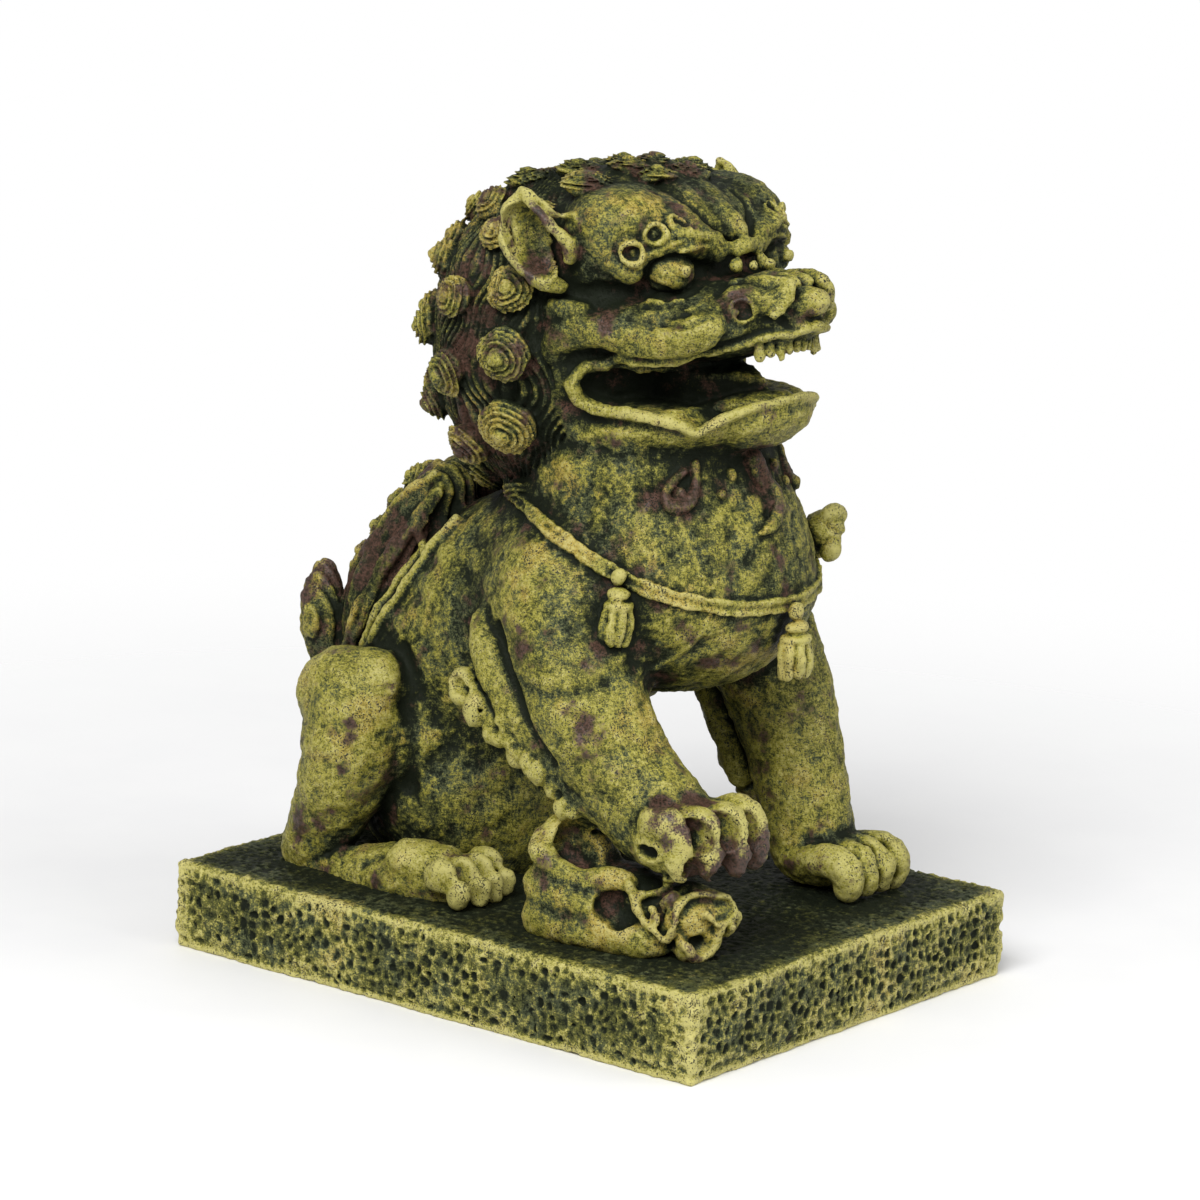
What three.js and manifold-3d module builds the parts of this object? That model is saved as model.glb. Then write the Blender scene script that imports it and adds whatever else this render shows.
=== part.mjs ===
// Guardian lion (foo dog) figurine: a seated lioness on a hammered plinth, her right forepaw on a cub.
// Millimetres, +Z up. The lion faces -Y, so her right side is -X and her left side is +X.
// The origin is the centre of the plinth's underside, on the surface that the figurine stands on.

import * as THREE from 'three';
import { mergeVertices } from 'three/addons/utils/BufferGeometryUtils.js';
import Module from 'manifold-3d';

const wasm = await Module();
wasm.setup();

// Driving dimensions
const PLINTH_LENGTH = 110;
const PLINTH_WIDTH = 88;
const PLINTH_HEIGHT = 15;
const PLINTH_CORNER = 2;
const PLINTH_RIM = 3; // height of the narrow foot under the plinth's sides
const PLINTH_RIM_INSET = 0.8;
const JOINT_GAP = 0.3; // clearance that each piece keeps to the pieces it is seated on
const CHEST_HALF_WIDTH = 25;
const CHEST_DEPTH = 23; // half of the chest from front to back
const CHEST_HEIGHT = 69; // height of the middle of the chest
const HEAD_HEIGHT = 117; // height of the middle of the skull
const MANE_HALF_WIDTH = 27;
const MANE_HEIGHT = 107; // height of the middle of the mane
const LEG_SPREAD = 24; // distance from the middle plane to each foreleg's axis
const HIND_SPREAD = 25; // the same for the hind legs
const RIBBON_WIDTH = 3;
const RIBBON_THICKNESS = 1.6;
const RIBBON_FRONT_HEIGHT = 66;
const RIBBON_SLOPE = 25; // degrees that the ribbon's plane rises towards the back
const CURL_RISE = 0.9; // how far a curl stands out of the mane, for each millimetre of its radius
const CURL_SIDES = 8;

const RIGHT = -1;
const LEFT = 1;
const SIDE_NAME = { [RIGHT]: 'right', [LEFT]: 'left' };

// ---------------------------------------------------------------------------
// Shapes. Each one is a function of `grow`: the solid with every radius larger by that much,
// so that a neighbour cut by the grown solid keeps an even clearance to the real one.

function toSolid(geometry) {
  geometry.deleteAttribute('normal');
  geometry.deleteAttribute('uv');
  const merged = mergeVertices(geometry, 1e-4);
  return new wasm.Manifold(new wasm.Mesh({
    numProp: 3,
    vertProperties: new Float32Array(merged.attributes.position.array),
    triVerts: new Uint32Array(merged.index.array),
  }));
}

function place(geometry, centre, turnDegrees = [0, 0, 0]) {
  const [x, y, z] = turnDegrees.map(THREE.MathUtils.degToRad);
  geometry.applyMatrix4(new THREE.Matrix4().makeRotationFromEuler(new THREE.Euler(x, y, z)));
  geometry.translate(...centre);
  return geometry;
}

// An ellipsoid
function egg(centre, radii, turn = [0, 0, 0], round = 10, rings = 7) {
  return (grow) => {
    const geometry = new THREE.SphereGeometry(1, round, rings);
    geometry.rotateX(Math.PI / 2);
    geometry.scale(...radii.map((radius) => radius + grow));
    return toSolid(place(geometry, centre, turn));
  };
}

// A tapered limb along a smooth curve: radii holds one [side, front] pair for each point
function limb(points, radii, { across = [1, 0, 0], round = 10, rings = 8, blunt = 3 } = {}) {
  const curve = new THREE.CatmullRomCurve3(points.map((point) => new THREE.Vector3(...point)));
  const widest = new THREE.Vector3(...across);
  return (grow) => {
    const geometry = new THREE.SphereGeometry(1, round, rings);
    const position = geometry.attributes.position;
    const vertex = new THREE.Vector3();
    for (let i = 0; i < position.count; i += 1) {
      vertex.fromBufferAttribute(position, i);
      const along = Math.acos(THREE.MathUtils.clamp(-vertex.y, -1, 1)) / Math.PI;
      const fromMiddle = Math.abs(2 * along - 1);
      const swell = (1 - fromMiddle ** blunt) ** (1 / blunt);
      const spin = Math.atan2(vertex.z, vertex.x);
      const step = Math.min(Math.floor(along * (radii.length - 1)), radii.length - 2);
      const between = along * (radii.length - 1) - step;
      const [side, front] = [0, 1].map((k) => (
        THREE.MathUtils.lerp(radii[step][k], radii[step + 1][k], between) + grow));
      const tangent = curve.getTangent(along);
      const sideways = widest.clone().addScaledVector(tangent, -widest.dot(tangent)).normalize();
      const forward = new THREE.Vector3().crossVectors(sideways, tangent);
      vertex.copy(curve.getPoint(along))
        .addScaledVector(tangent, grow * Math.sign(2 * along - 1) * fromMiddle ** 4)
        .addScaledVector(sideways, Math.cos(spin) * swell * side)
        .addScaledVector(forward, Math.sin(spin) * swell * front);
      position.setXYZ(i, ...vertex);
    }
    return toSolid(geometry);
  };
}

const join = (...shapes) => (grow) => shapes.map((shape) => shape(grow)).reduce((a, b) => a.add(b));
const carve = (shape, hollow) => (grow) => shape(grow).subtract(hollow(-grow));

// A snail curl: a stepped dome with a knob in the middle, standing along `outward`
const CURL_PROFILE = [[0, 1], [0.36, 0.94], [0.5, 0.6], [1, 0.35], [0.86, -0.7], [0, -0.75]];

function curl(centre, outward, radius, rise) {
  return (grow) => {
    const rings = CURL_PROFILE.length - 1;
    const geometry = new THREE.SphereGeometry(1, CURL_SIDES, rings);
    const position = geometry.attributes.position;
    for (let i = 0; i < position.count; i += 1) {
      const y = position.getY(i);
      const ring = Math.round((Math.acos(THREE.MathUtils.clamp(y, -1, 1)) / Math.PI) * rings);
      const [wide, high] = CURL_PROFILE[ring];
      const spin = Math.atan2(position.getZ(i), position.getX(i));
      const reach = wide * (radius + grow);
      position.setXYZ(i, Math.cos(spin) * reach, high * (rise + grow), Math.sin(spin) * reach);
    }
    const turn = new THREE.Quaternion().setFromUnitVectors(
      new THREE.Vector3(0, 1, 0), new THREE.Vector3(...outward).normalize());
    geometry.applyQuaternion(turn);
    geometry.translate(...centre);
    return toSolid(geometry);
  };
}

// ---------------------------------------------------------------------------
// Plinth

function roundedSlab(length, width, corner, bottom, top, bevel) {
  const shape = new THREE.Shape();
  const x = width / 2 - corner - bevel;
  const y = length / 2 - corner - bevel;
  shape.absarc(x, y, corner, 0, Math.PI / 2);
  shape.absarc(-x, y, corner, Math.PI / 2, Math.PI);
  shape.absarc(-x, -y, corner, Math.PI, Math.PI * 1.5);
  shape.absarc(x, -y, corner, Math.PI * 1.5, Math.PI * 2);
  shape.closePath();
  const geometry = new THREE.ExtrudeGeometry(shape, {
    depth: top - bottom - 2 * bevel,
    bevelEnabled: bevel > 0,
    bevelThickness: bevel,
    bevelSize: bevel,
    bevelSegments: 1,
    curveSegments: 3,
  });
  geometry.translate(0, 0, bottom + bevel);
  return toSolid(geometry);
}

const plinth = (grow) => roundedSlab(
  PLINTH_LENGTH + 2 * grow, PLINTH_WIDTH + 2 * grow, PLINTH_CORNER,
  PLINTH_RIM, PLINTH_HEIGHT + grow, 0.7,
).add(roundedSlab(
  PLINTH_LENGTH - 2 * PLINTH_RIM_INSET, PLINTH_WIDTH - 2 * PLINTH_RIM_INSET, PLINTH_CORNER,
  0, PLINTH_RIM + 1, 0,
));

// ---------------------------------------------------------------------------
// Body

const torso = join(
  limb(
    [[0, -16, CHEST_HEIGHT + 1], [0, 2, 66], [0, 22, 53], [0, 30, 38], [0, 31, 22]],
    [[22, 18], [25, 22], [24.5, 24], [24, 20], [20, 16]],
    { round: 12, rings: 8 },
  ),
  egg([0, -15, CHEST_HEIGHT], [CHEST_HALF_WIDTH, CHEST_DEPTH, 19], [0, 0, 0], 16, 10),
  egg([0, -6, 83], [21, 21.5, 11.5], [0, 0, 0], 12, 7),
  egg([0, 22, 30], [23, 20, 22], [0, 0, 0], 12, 7), // the belly and rump reach the plinth
);

// A row of curls runs down the spine on a low ridge
const SPINE_CURLS = 4;
const spineRidge = join(
  limb(
    [[-1, 31, 80], [-1, 38, 74.5], [-1, 44, 67.5], [-1, 48, 60]],
    [[2.6, 2.6], [3, 3.4], [3, 3.4], [2, 2.4]],
    { round: 6, rings: 6 },
  ),
  ...Array.from({ length: SPINE_CURLS }, (_, index) => (
    egg([-1, 37.6 + 3.6 * index, 78 - 4.9 * index], [3.2, 3.4, 3.6], [0, 0, 0], 7, 5))),
);

const backLocks = (side) => join(
  egg([side * 9, 33.5, 76], [6.5, 4.5, 4.5], [0, 0, 0], 10, 6),
  ...[0, 1, 2].map((strand) => limb(
    [
      [side * (6 + 3 * strand), 33 - strand, 77],
      [side * (9 + 4 * strand), 39.5 - 2 * strand, 68],
      [side * (10 + 4 * strand), 45 - 2.5 * strand, 58],
      [side * (10 + 4 * strand), 48.5 - 3 * strand, 47],
    ],
    [[2, 2], [2.2, 2.8], [2, 2.6], [1.4, 1.8]],
    { round: 6, rings: 6 },
  )),
);

// A broad flame-shaped tail lies up against the rump, in five lobes
const tail = join(
  limb(
    [[0, 44, 17], [0, 48, 31], [0, 49.5, 44], [0, 50, 58]],
    [[9, 5], [10, 4.5], [8, 4.2], [4, 3]],
    { round: 10, rings: 7 },
  ),
  ...[RIGHT, LEFT].flatMap((side) => [
    egg([side * 8, 49, 38], [4.6, 3.6, 9], [0, side * 16, 0], 8, 6),
    egg([side * 9.5, 50.4, 52], [4, 3.4, 9.5], [0, side * 12, 0], 8, 6),
  ]),
);

// ---------------------------------------------------------------------------
// Head

// The mouth is a tilted slot, higher in front, with a round corner in each cheek
const mouth = egg([0, -28, 105.5], [30, 20.5, 5], [-19, 0, 0], 16, 7);

// The roll of flesh from below the ear to the nose, above the mouth
const cheekRoll = (side) => limb(
  [[side * 23, -3, 115.5], [side * 21.5, -14, 113.2], [side * 18, -23, 113], [side * 11.5, -31, 114.5]],
  [[2.2, 2.6], [2.6, 3], [2.6, 3], [2, 2.4]],
  { round: 7, rings: 6 },
);

const head = carve(
  join(
    egg([0, -4, HEAD_HEIGHT], [22.5, 20, 19.5], [0, 0, 0], 14, 8),
    egg([0, -14, 113], [22, 25, 8.5], [-6, 0, 0], 14, 7),
    egg([0, -30, 113], [9.5, 12, 5.5], [-8, 0, 0], 10, 6),
    egg([0, -4, 104], [24, 18, 19], [0, 0, 0], 14, 8),
    ...[RIGHT, LEFT].map(cheekRoll),
  ),
  mouth,
);

const lowerJaw = carve(
  join(
    egg([0, -14, 95], [21.5, 24.5, 9.5], [-14, 0, 0], 14, 7),
    egg([0, -32.5, 98.5], [10, 7.5, 6.5], [-20, 0, 0], 10, 6),
  ),
  mouth,
);

const TEETH = 5;
const upperTeeth = join(
  limb(
    [[-11, -33.5, 110.6], [-6, -37, 112], [0, -38.5, 112.6], [6, -37, 112], [11, -33.5, 110.6]],
    [[1.3, 1.6], [1.3, 1.6], [1.3, 1.6], [1.3, 1.6], [1.3, 1.6]],
    { across: [0, 1, 0], round: 6, rings: 7 },
  ),
  ...Array.from({ length: TEETH }, (_, index) => {
    const x = (index - (TEETH - 1) / 2) * 3.6;
    return egg([x, -38.4 + 0.045 * x * x, 110.6 - 0.016 * x * x], [1.4, 1.2, 2], [0, 0, 0], 6, 4);
  }),
);

const nose = join(
  egg([0, -32, 119.5], [4.6, 8, 3.6], [-12, 0, 0], 8, 5),
  egg([0, -36, 116.8], [8.6, 5, 3.2], [-8, 0, 0], 8, 5),
  ...[RIGHT, LEFT].map((side) => egg([side * 7, -34.5, 116.6], [3.6, 4, 3.4], [0, 0, side * 20], 8, 5)),
);

const eye = (side) => egg([side * 12, -21.6, 121.8], [3.8, 3, 2.8], [0, 0, side * 28], 10, 7);

// A brow is a heavy bulge over the eye with three small spirals along its front
const brow = (side) => join(
  egg([side * 14, -13, 128.5], [9.5, 9, 6.5], [0, side * 18, 0], 10, 6),
  ...[0, 1, 2].map((index) => egg(
    [side * (17.5 - 4.4 * index), -19 - 1.8 * index, 124.5 + 2.3 * index],
    [2.6, 2.4, 2.4],
    [0, 0, 0],
    6,
    4,
  )),
);

const foreheadPlate = join(
  egg([0, -18.5, 131.5], [8.5, 9, 3.4], [28, 0, 0], 10, 5),
  ...[-1, 0, 1].map((index) => egg(
    [index * 5.2, -26 + Math.abs(index), 127.4], [3, 2.6, 2.4], [0, 0, 0], 6, 4)),
);

const ear = (side) => carve(
  egg([side * 25.5, -3, 126.5], [4, 5.6, 8.6], [-31, 0, side * -12], 10, 8),
  egg([side * 28.8, -4.6, 126], [3, 3.4, 5.6], [-31, 0, side * -12], 8, 6),
);

// ---------------------------------------------------------------------------
// Mane: a thick cap behind the ears, down to the shoulders, covered with snail curls

const MANE_CENTRE = [0, 6.5, MANE_HEIGHT];
const MANE_RADII = [MANE_HALF_WIDTH, 23, 28];
const mane = egg(MANE_CENTRE, MANE_RADII, [0, 0, 0], 18, 10);

// A point on the mane at a height, and the direction straight out of it there: turn is measured
// from the back of the head towards either side
function onMane(turn, height) {
  const lift = (height - MANE_CENTRE[2]) / MANE_RADII[2];
  const level = Math.sqrt(1 - lift * lift);
  const angle = THREE.MathUtils.degToRad(turn);
  const ray = [Math.sin(angle) * level, Math.cos(angle) * level, lift];
  return {
    centre: ray.map((part, axis) => MANE_CENTRE[axis] + part * MANE_RADII[axis]),
    outward: ray.map((part, axis) => part / MANE_RADII[axis]),
  };
}

// The larger curls, on both sides. Round the mane: turn, height and radius
const MANE_CURLS = [
  [103, 117, 3.9],
  [103, 107, 4.3],
  [103, 95.6, 4.7],
  [101, 83.5, 4.5],
  [45, 119, 3.2],
  [45, 108, 3.4],
  [45, 96, 3.5],
  [45, 84, 3.4],
  [62, 128.5, 3.1],
];
// On the crown: centre and radius
const CROWN_CURLS = [
  [[14, -4, 134], 3.6],
  [[9, 12, 132.6], 3.2],
  [[6, 4, 134.6], 3.4],
];

const maneCurls = [
  ...MANE_CURLS.flatMap(([turn, height, radius]) => [RIGHT, LEFT].map((side) => {
    const { centre, outward } = onMane(side * turn, height);
    return curl(centre, outward, radius, CURL_RISE * radius);
  })),
  ...CROWN_CURLS.flatMap(([[x, y, z], radius]) => [RIGHT, LEFT].map((side) => {
    const outward = [side * x, y, 3 * (z - MANE_HEIGHT)];
    return curl([side * x, y, z], outward, radius, CURL_RISE * radius);
  })),
];

// ---------------------------------------------------------------------------
// Ribbon, tassels, knot and beard

const ribbonPlane = (grow) => {
  const slab = new THREE.BoxGeometry(90, 62, RIBBON_WIDTH + 2 * grow);
  return toSolid(place(slab, [0, -12.5, RIBBON_FRONT_HEIGHT + 11.9], [RIBBON_SLOPE, 0, 0]));
};
const ribbon = (grow) => torso(RIBBON_THICKNESS + grow).intersect(ribbonPlane(grow));

const tassel = (top, lean) => {
  const [x, y, z] = top;
  return join(
    egg([x, y, z], [1.9, 1.9, 1.9], [0, 0, 0], 7, 5),
    egg([x + lean * 0.3, y - 0.3, z - 3.4], [2.6, 2.4, 2.2], [0, 0, 0], 8, 5),
    limb(
      [[x + lean * 0.3, y - 0.3, z - 2.6], [x + lean * 0.6, y - 0.4, z - 7.5], [x + lean * 0.8, y, z - 12]],
      [[2, 2], [3.2, 2.7], [3.4, 2.8]],
      { round: 8, rings: 6, blunt: 6 },
    ),
  );
};
const tasselRight = tassel([-24.6, -22, 74], -1);
const tasselCentre = tassel([0.6, -39, 67], 0);
const knotLeft = join(
  egg([22.5, -28.5, 76], [3.6, 3.4, 3.4], [0, 0, 0], 8, 6),
  egg([24.5, -26, 73], [2.6, 2.6, 2.6], [0, 0, 0], 7, 4),
);

const beardCurl = (side) => join(
  egg([side * 13.5, -23.5, 86.2], [2.6, 2.4, 2.8], [0, 0, 0], 8, 6),
  limb(
    [[side * 12, -24.5, 87], [side * 11, -26, 89], [side * 10.5, -27, 91.5]],
    [[1.8, 1.8], [1.5, 1.5], [1.1, 1.1]],
    { round: 6, rings: 5 },
  ),
);
const beardTuft = limb(
  [[-2, -29.5, 91], [-1, -30.2, 87], [-3, -30, 83.5], [-0.5, -31.5, 79.5]],
  [[2.4, 2], [2, 1.8], [2, 1.8], [1.2, 1.2]],
  { round: 8, rings: 7 },
);

// ---------------------------------------------------------------------------
// Legs

const toes = (x, y, z, radii, spacing) => join(...[-1.5, -0.5, 0.5, 1.5].map((place4) => egg(
  [x + place4 * spacing, y + 0.9 * Math.abs(place4), z], radii, [0, 0, 0], 7, 4)));

const forelegRight = join(
  egg([-19.5, -7, 66], [12, 13.5, 15], [-8, 0, 0]),
  limb(
    [[-21, -9, 66], [-25, -16.5, 52], [-LEG_SPREAD - 0.5, -24, 42], [-LEG_SPREAD, -33, 35]],
    [[10, 12], [9, 11.5], [8, 9], [8, 8]],
    { round: 10, rings: 7 },
  ),
  egg([-LEG_SPREAD, -38, 33.2], [9.5, 10, 6.6], [6, 0, 0], 9, 6),
  toes(-LEG_SPREAD, -46, 32, [2.5, 4.2, 4.4], 5),
);

const forelegLeft = join(
  egg([19.5, -7, 66], [12, 13.5, 15], [-8, 0, 0]),
  limb(
    [[21, -9, 66], [LEG_SPREAD, -18, 50], [LEG_SPREAD, -24, 36], [LEG_SPREAD, -28, 22]],
    [[10, 12], [8.5, 10.5], [7.4, 8.4], [7, 7.6]],
    { round: 10, rings: 7 },
  ),
  egg([LEG_SPREAD, -33, 20], [8.6, 10, 5.6], [6, 0, 0], 9, 6),
  toes(LEG_SPREAD, -40.5, 18.8, [2.3, 4, 3.6], 4.6),
);

// The fringe of hair that runs down the back of a foreleg, from a curl at the elbow
const fringe = (points, curlRadius) => join(
  limb(points, points.map(() => [2, 2.2]), { round: 6, rings: 6 }),
  egg(points[0], [curlRadius, curlRadius, curlRadius], [0, 0, 0], 7, 5),
  ...points.slice(1).map(([x, y, z]) => egg([x, y + 1.6, z - 1], [1.9, 2.4, 2.8], [0, 0, 0], 6, 4)),
);
const fringeRight = fringe(
  [[-29.5, 5.5, 62], [-29.5, 1, 54], [-30, -4, 47.5], [-29.5, -10.5, 42], [-28, -17.5, 35.5]], 3.4);
const fringeLeft = fringe(
  [[29.5, 5.5, 62], [29, 0, 53], [27, -5.5, 44.5], [25.5, -10.5, 35], [25, -15.5, 25.5]], 3.4);

const hindLeg = (side) => join(
  egg([side * HIND_SPREAD, 32, 43.5], [8.8, 13, 11.8]),
  egg([side * 17.5, 29, 39], [10, 12.5, 13]),
  limb(
    [[side * HIND_SPREAD, 31, 42], [side * 25.5, 35.5, 30], [side * HIND_SPREAD, 40, 16.5]],
    [[8.6, 11], [7.6, 9], [6, 6]],
    { round: 9, rings: 6, blunt: 4 },
  ),
);

const hindPaw = (side) => join(
  limb(
    [[side * 26, 42, 16], [side * 26.3, 26, 17], [side * 27, 5, 18.5]],
    [[5.5, 5], [6.4, 6], [9, 9]],
    { round: 9, rings: 6, blunt: 4 },
  ),
  toes(side * 27, 6.5, 18.8, [2.4, 4.4, 4.6], 4.5),
);

// ---------------------------------------------------------------------------
// Cub: it lies on its back under the right forepaw with its head to the front

const cubBody = join(
  egg([-26, -27, 21.5], [8.6, 13, 7.6]),
  egg([-28.5, -18, 24], [6, 4.6, 8.5], [0, 0, 0], 8, 5),
  egg([-32, -29.5, 23], [3.4, 5, 4], [20, 0, 0], 6, 4),
  egg([-20, -24, 25], [3.6, 5, 4.4], [0, 0, 0], 6, 4),
);

const cubHead = join(
  egg([-25.5, -42.5, 21.5], [8, 7.5, 7], [0, 0, 0], 10, 6),
  egg([-27, -48.5, 19.5], [4.8, 4, 4.2], [0, 0, 0], 8, 5),
  egg([-32.5, -41, 23], [2.6, 3, 3.6], [0, 0, 0], 6, 4),
  egg([-19, -41, 23], [2.6, 3, 3.6], [0, 0, 0], 6, 4),
);

// ---------------------------------------------------------------------------
// Assembly: each piece is cut by the pieces listed before it, which it is seated on

const FINISH = {
  plinth: { color: 0x7d7c45, roughness: 0.62, metalness: 0.0 },
  body: { color: 0x8f8f48, roughness: 0.5, metalness: 0.0 },
  hair: { color: 0x7f7d3c, roughness: 0.55, metalness: 0.0 },
  trim: { color: 0xa3913f, roughness: 0.5, metalness: 0.0 },
  dark: { color: 0x3a3a26, roughness: 0.45, metalness: 0.0 },
};

const bothSides = (name, shape, finish) => [RIGHT, LEFT].map((side) => (
  [`${name}_${SIDE_NAME[side]}`, shape(side), finish]));

const PIECES = [
  ['plinth', plinth, 'plinth'],
  ['torso', torso, 'body'],
  ['head', head, 'body'],
  ['lower_jaw', lowerJaw, 'body'],
  ['upper_teeth', upperTeeth, 'trim'],
  ['nose', nose, 'body'],
  ...bothSides('brow', brow, 'body'),
  ...bothSides('eye', eye, 'dark'),
  ['forehead_plate', foreheadPlate, 'trim'],
  ...bothSides('ear', ear, 'body'),
  ['mane', mane, 'hair'],
  ...maneCurls.map((shape, index) => [`mane_curl_${String(index + 1).padStart(2, '0')}`, shape, 'hair']),
  ['spine_ridge', spineRidge, 'hair'],
  ...bothSides('back_locks', backLocks, 'hair'),
  ['tail', tail, 'hair'],
  ['foreleg_right', forelegRight, 'body'],
  ['foreleg_left', forelegLeft, 'body'],
  ['elbow_fringe_right', fringeRight, 'trim'],
  ['elbow_fringe_left', fringeLeft, 'trim'],
  ...bothSides('hind_leg', hindLeg, 'body'),
  ...bothSides('hind_paw', hindPaw, 'trim'),
  ['ribbon', ribbon, 'trim'],
  ['tassel_right', tasselRight, 'trim'],
  ['tassel_centre', tasselCentre, 'trim'],
  ['knot_left', knotLeft, 'trim'],
  ...bothSides('beard_curl', beardCurl, 'hair'),
  ['beard_tuft', beardTuft, 'hair'],
  ['cub_head', cubHead, 'trim'],
  ['cub_body', cubBody, 'body'],
];

function overlaps(a, b) {
  const [p, q] = [a.boundingBox(), b.boundingBox()];
  return [0, 1, 2].every((axis) => p.min[axis] < q.max[axis] && q.min[axis] < p.max[axis]);
}

// A cut can leave crumbs beside the piece itself, so only the largest body is kept
function largestBody(solid) {
  return solid.decompose().reduce((a, b) => (a.volume() > b.volume() ? a : b));
}

function toMesh(name, solid, finish) {
  const { vertProperties, triVerts } = solid.getMesh();
  const geometry = new THREE.BufferGeometry();
  geometry.setAttribute('position', new THREE.BufferAttribute(new Float32Array(vertProperties), 3));
  geometry.setIndex(new THREE.BufferAttribute(new Uint32Array(triVerts), 1));
  geometry.computeVertexNormals();
  const mesh = new THREE.Mesh(geometry, new THREE.MeshStandardMaterial(FINISH[finish]));
  mesh.name = name;
  return mesh;
}

const group = new THREE.Group();
const seated = [];
for (const [name, shape, finish] of PIECES) {
  let solid = shape(0);
  for (const grown of seated) {
    if (overlaps(solid, grown)) solid = solid.subtract(grown);
  }
  seated.push(shape(JOINT_GAP));
  group.add(toMesh(name, largestBody(solid), finish));
}

export default group;
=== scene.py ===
"""Guardian lion figurine: a seated lioness with a curled mane on a hammered plinth, cub under her paw.

The surface is sculpted as clay: every piece is a distance field on a grid, joined softly to the
pieces that it grows out of, then combed, creased and dented, and at last cut back into its pieces.
Sculpting sizes are millimetres in the frame's own axes: the lion faces -Y and her right side is -X.
"""

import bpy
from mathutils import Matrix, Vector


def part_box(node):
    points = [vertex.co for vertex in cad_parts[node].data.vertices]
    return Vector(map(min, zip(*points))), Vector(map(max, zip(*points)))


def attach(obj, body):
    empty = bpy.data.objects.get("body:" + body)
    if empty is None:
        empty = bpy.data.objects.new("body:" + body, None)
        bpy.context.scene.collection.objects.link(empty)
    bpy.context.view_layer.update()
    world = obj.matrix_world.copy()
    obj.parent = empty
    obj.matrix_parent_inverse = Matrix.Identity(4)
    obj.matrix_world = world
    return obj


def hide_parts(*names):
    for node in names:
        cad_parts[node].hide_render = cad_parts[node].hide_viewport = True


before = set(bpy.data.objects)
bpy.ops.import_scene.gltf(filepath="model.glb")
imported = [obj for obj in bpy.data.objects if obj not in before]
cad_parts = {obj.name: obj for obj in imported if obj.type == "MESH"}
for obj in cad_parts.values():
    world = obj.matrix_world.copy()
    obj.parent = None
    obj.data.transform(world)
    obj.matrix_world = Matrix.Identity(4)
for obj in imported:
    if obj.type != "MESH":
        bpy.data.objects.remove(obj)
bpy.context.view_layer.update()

import math

import bpy
import numpy as np
from mathutils import Matrix, Vector

bl_info = {
    "name": "Guardian lion figurine",
    "version": (1, 0, 0),
    "blender": (4, 5, 0),
    "location": "View3D > Sidebar > Lion",
    "description": "Sculpts a painted guardian lion figurine around its CAD frame",
    "category": "Add Mesh",
}

BODY = "root"
PLINTH_LOW, PLINTH_HIGH = (Vector(corner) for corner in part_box("plinth"))
DESIGN_LENGTH = 110.0  # the plinth's length in sculpting units
UNIT = (PLINTH_HIGH.y - PLINTH_LOW.y) / DESIGN_LENGTH  # metres for one sculpting unit
TOP = PLINTH_HIGH.z / UNIT  # height of the plinth's top
RIGHT, LEFT = -1, 1
SIDE_NAME = {RIGHT: "right", LEFT: "left"}
FAR = 9.0  # distance that stands for "nowhere near"


# ---------------------------------------------------------------------------
# Sizes and colours that a user would change

class LionSizes(bpy.types.PropertyGroup):
    """Sizes of the sculpted surface"""
    detail: bpy.props.FloatProperty(
        name="Detail", description="Distance between points of the sculpted surface",
        default=0.34 * UNIT, min=0.2 * UNIT, unit="LENGTH")
    dimple: bpy.props.FloatProperty(
        name="Dimple", description="Distance between the hammer marks on the plinth",
        default=2.0 * UNIT, min=1.0 * UNIT, unit="LENGTH")


class LionColours(bpy.types.PropertyGroup):
    """Colours of the paint, from the first coat to the last dry brush"""
    # The wash colour is the real dark wash, and also painted shade in the hollows and under the body
    wash_and_shade: bpy.props.FloatVectorProperty(
        name="Wash", description="Dark wash left in the hollows", subtype="COLOR", size=3,
        default=(0.011, 0.014, 0.008))
    earth: bpy.props.FloatVectorProperty(
        name="Earth", description="Bare brown patches of the casting", subtype="COLOR", size=3,
        default=(0.098, 0.052, 0.037))
    moss: bpy.props.FloatVectorProperty(
        name="Moss", description="Middle green coat", subtype="COLOR", size=3,
        default=(0.078, 0.082, 0.022))
    sage: bpy.props.FloatVectorProperty(
        name="Sage", description="Greyer patches in the middle coat", subtype="COLOR", size=3,
        default=(0.070, 0.082, 0.040))
    citron: bpy.props.FloatVectorProperty(
        name="Citron", description="Yellow-green dry brush", subtype="COLOR", size=3,
        default=(0.29, 0.262, 0.034))
    ochre: bpy.props.FloatVectorProperty(
        name="Ochre", description="Warm dry brush on paws, tassels and curls", subtype="COLOR", size=3,
        default=(0.36, 0.265, 0.04))
    cream: bpy.props.FloatVectorProperty(
        name="Cream", description="Pale worn edges", subtype="COLOR", size=3,
        default=(0.54, 0.49, 0.17))


def sizes():
    return bpy.context.scene.lion_sizes


def colours():
    return bpy.context.scene.lion_colours


# ---------------------------------------------------------------------------
# Strokes: a stroke is a box and a function that gives the distance to a simple shape in it

class Stroke:
    def __init__(self, low, high, distance):
        self.low, self.high, self.distance = np.array(low), np.array(high), distance


def turned(degrees):
    """Rotation matrix of a turn about X, then Y, then Z"""
    x, y, z = (math.radians(angle) for angle in degrees)
    rotation = Matrix.Rotation(z, 3, "Z") @ Matrix.Rotation(y, 3, "Y") @ Matrix.Rotation(x, 3, "X")
    return np.array(rotation, dtype=np.float32)


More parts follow.
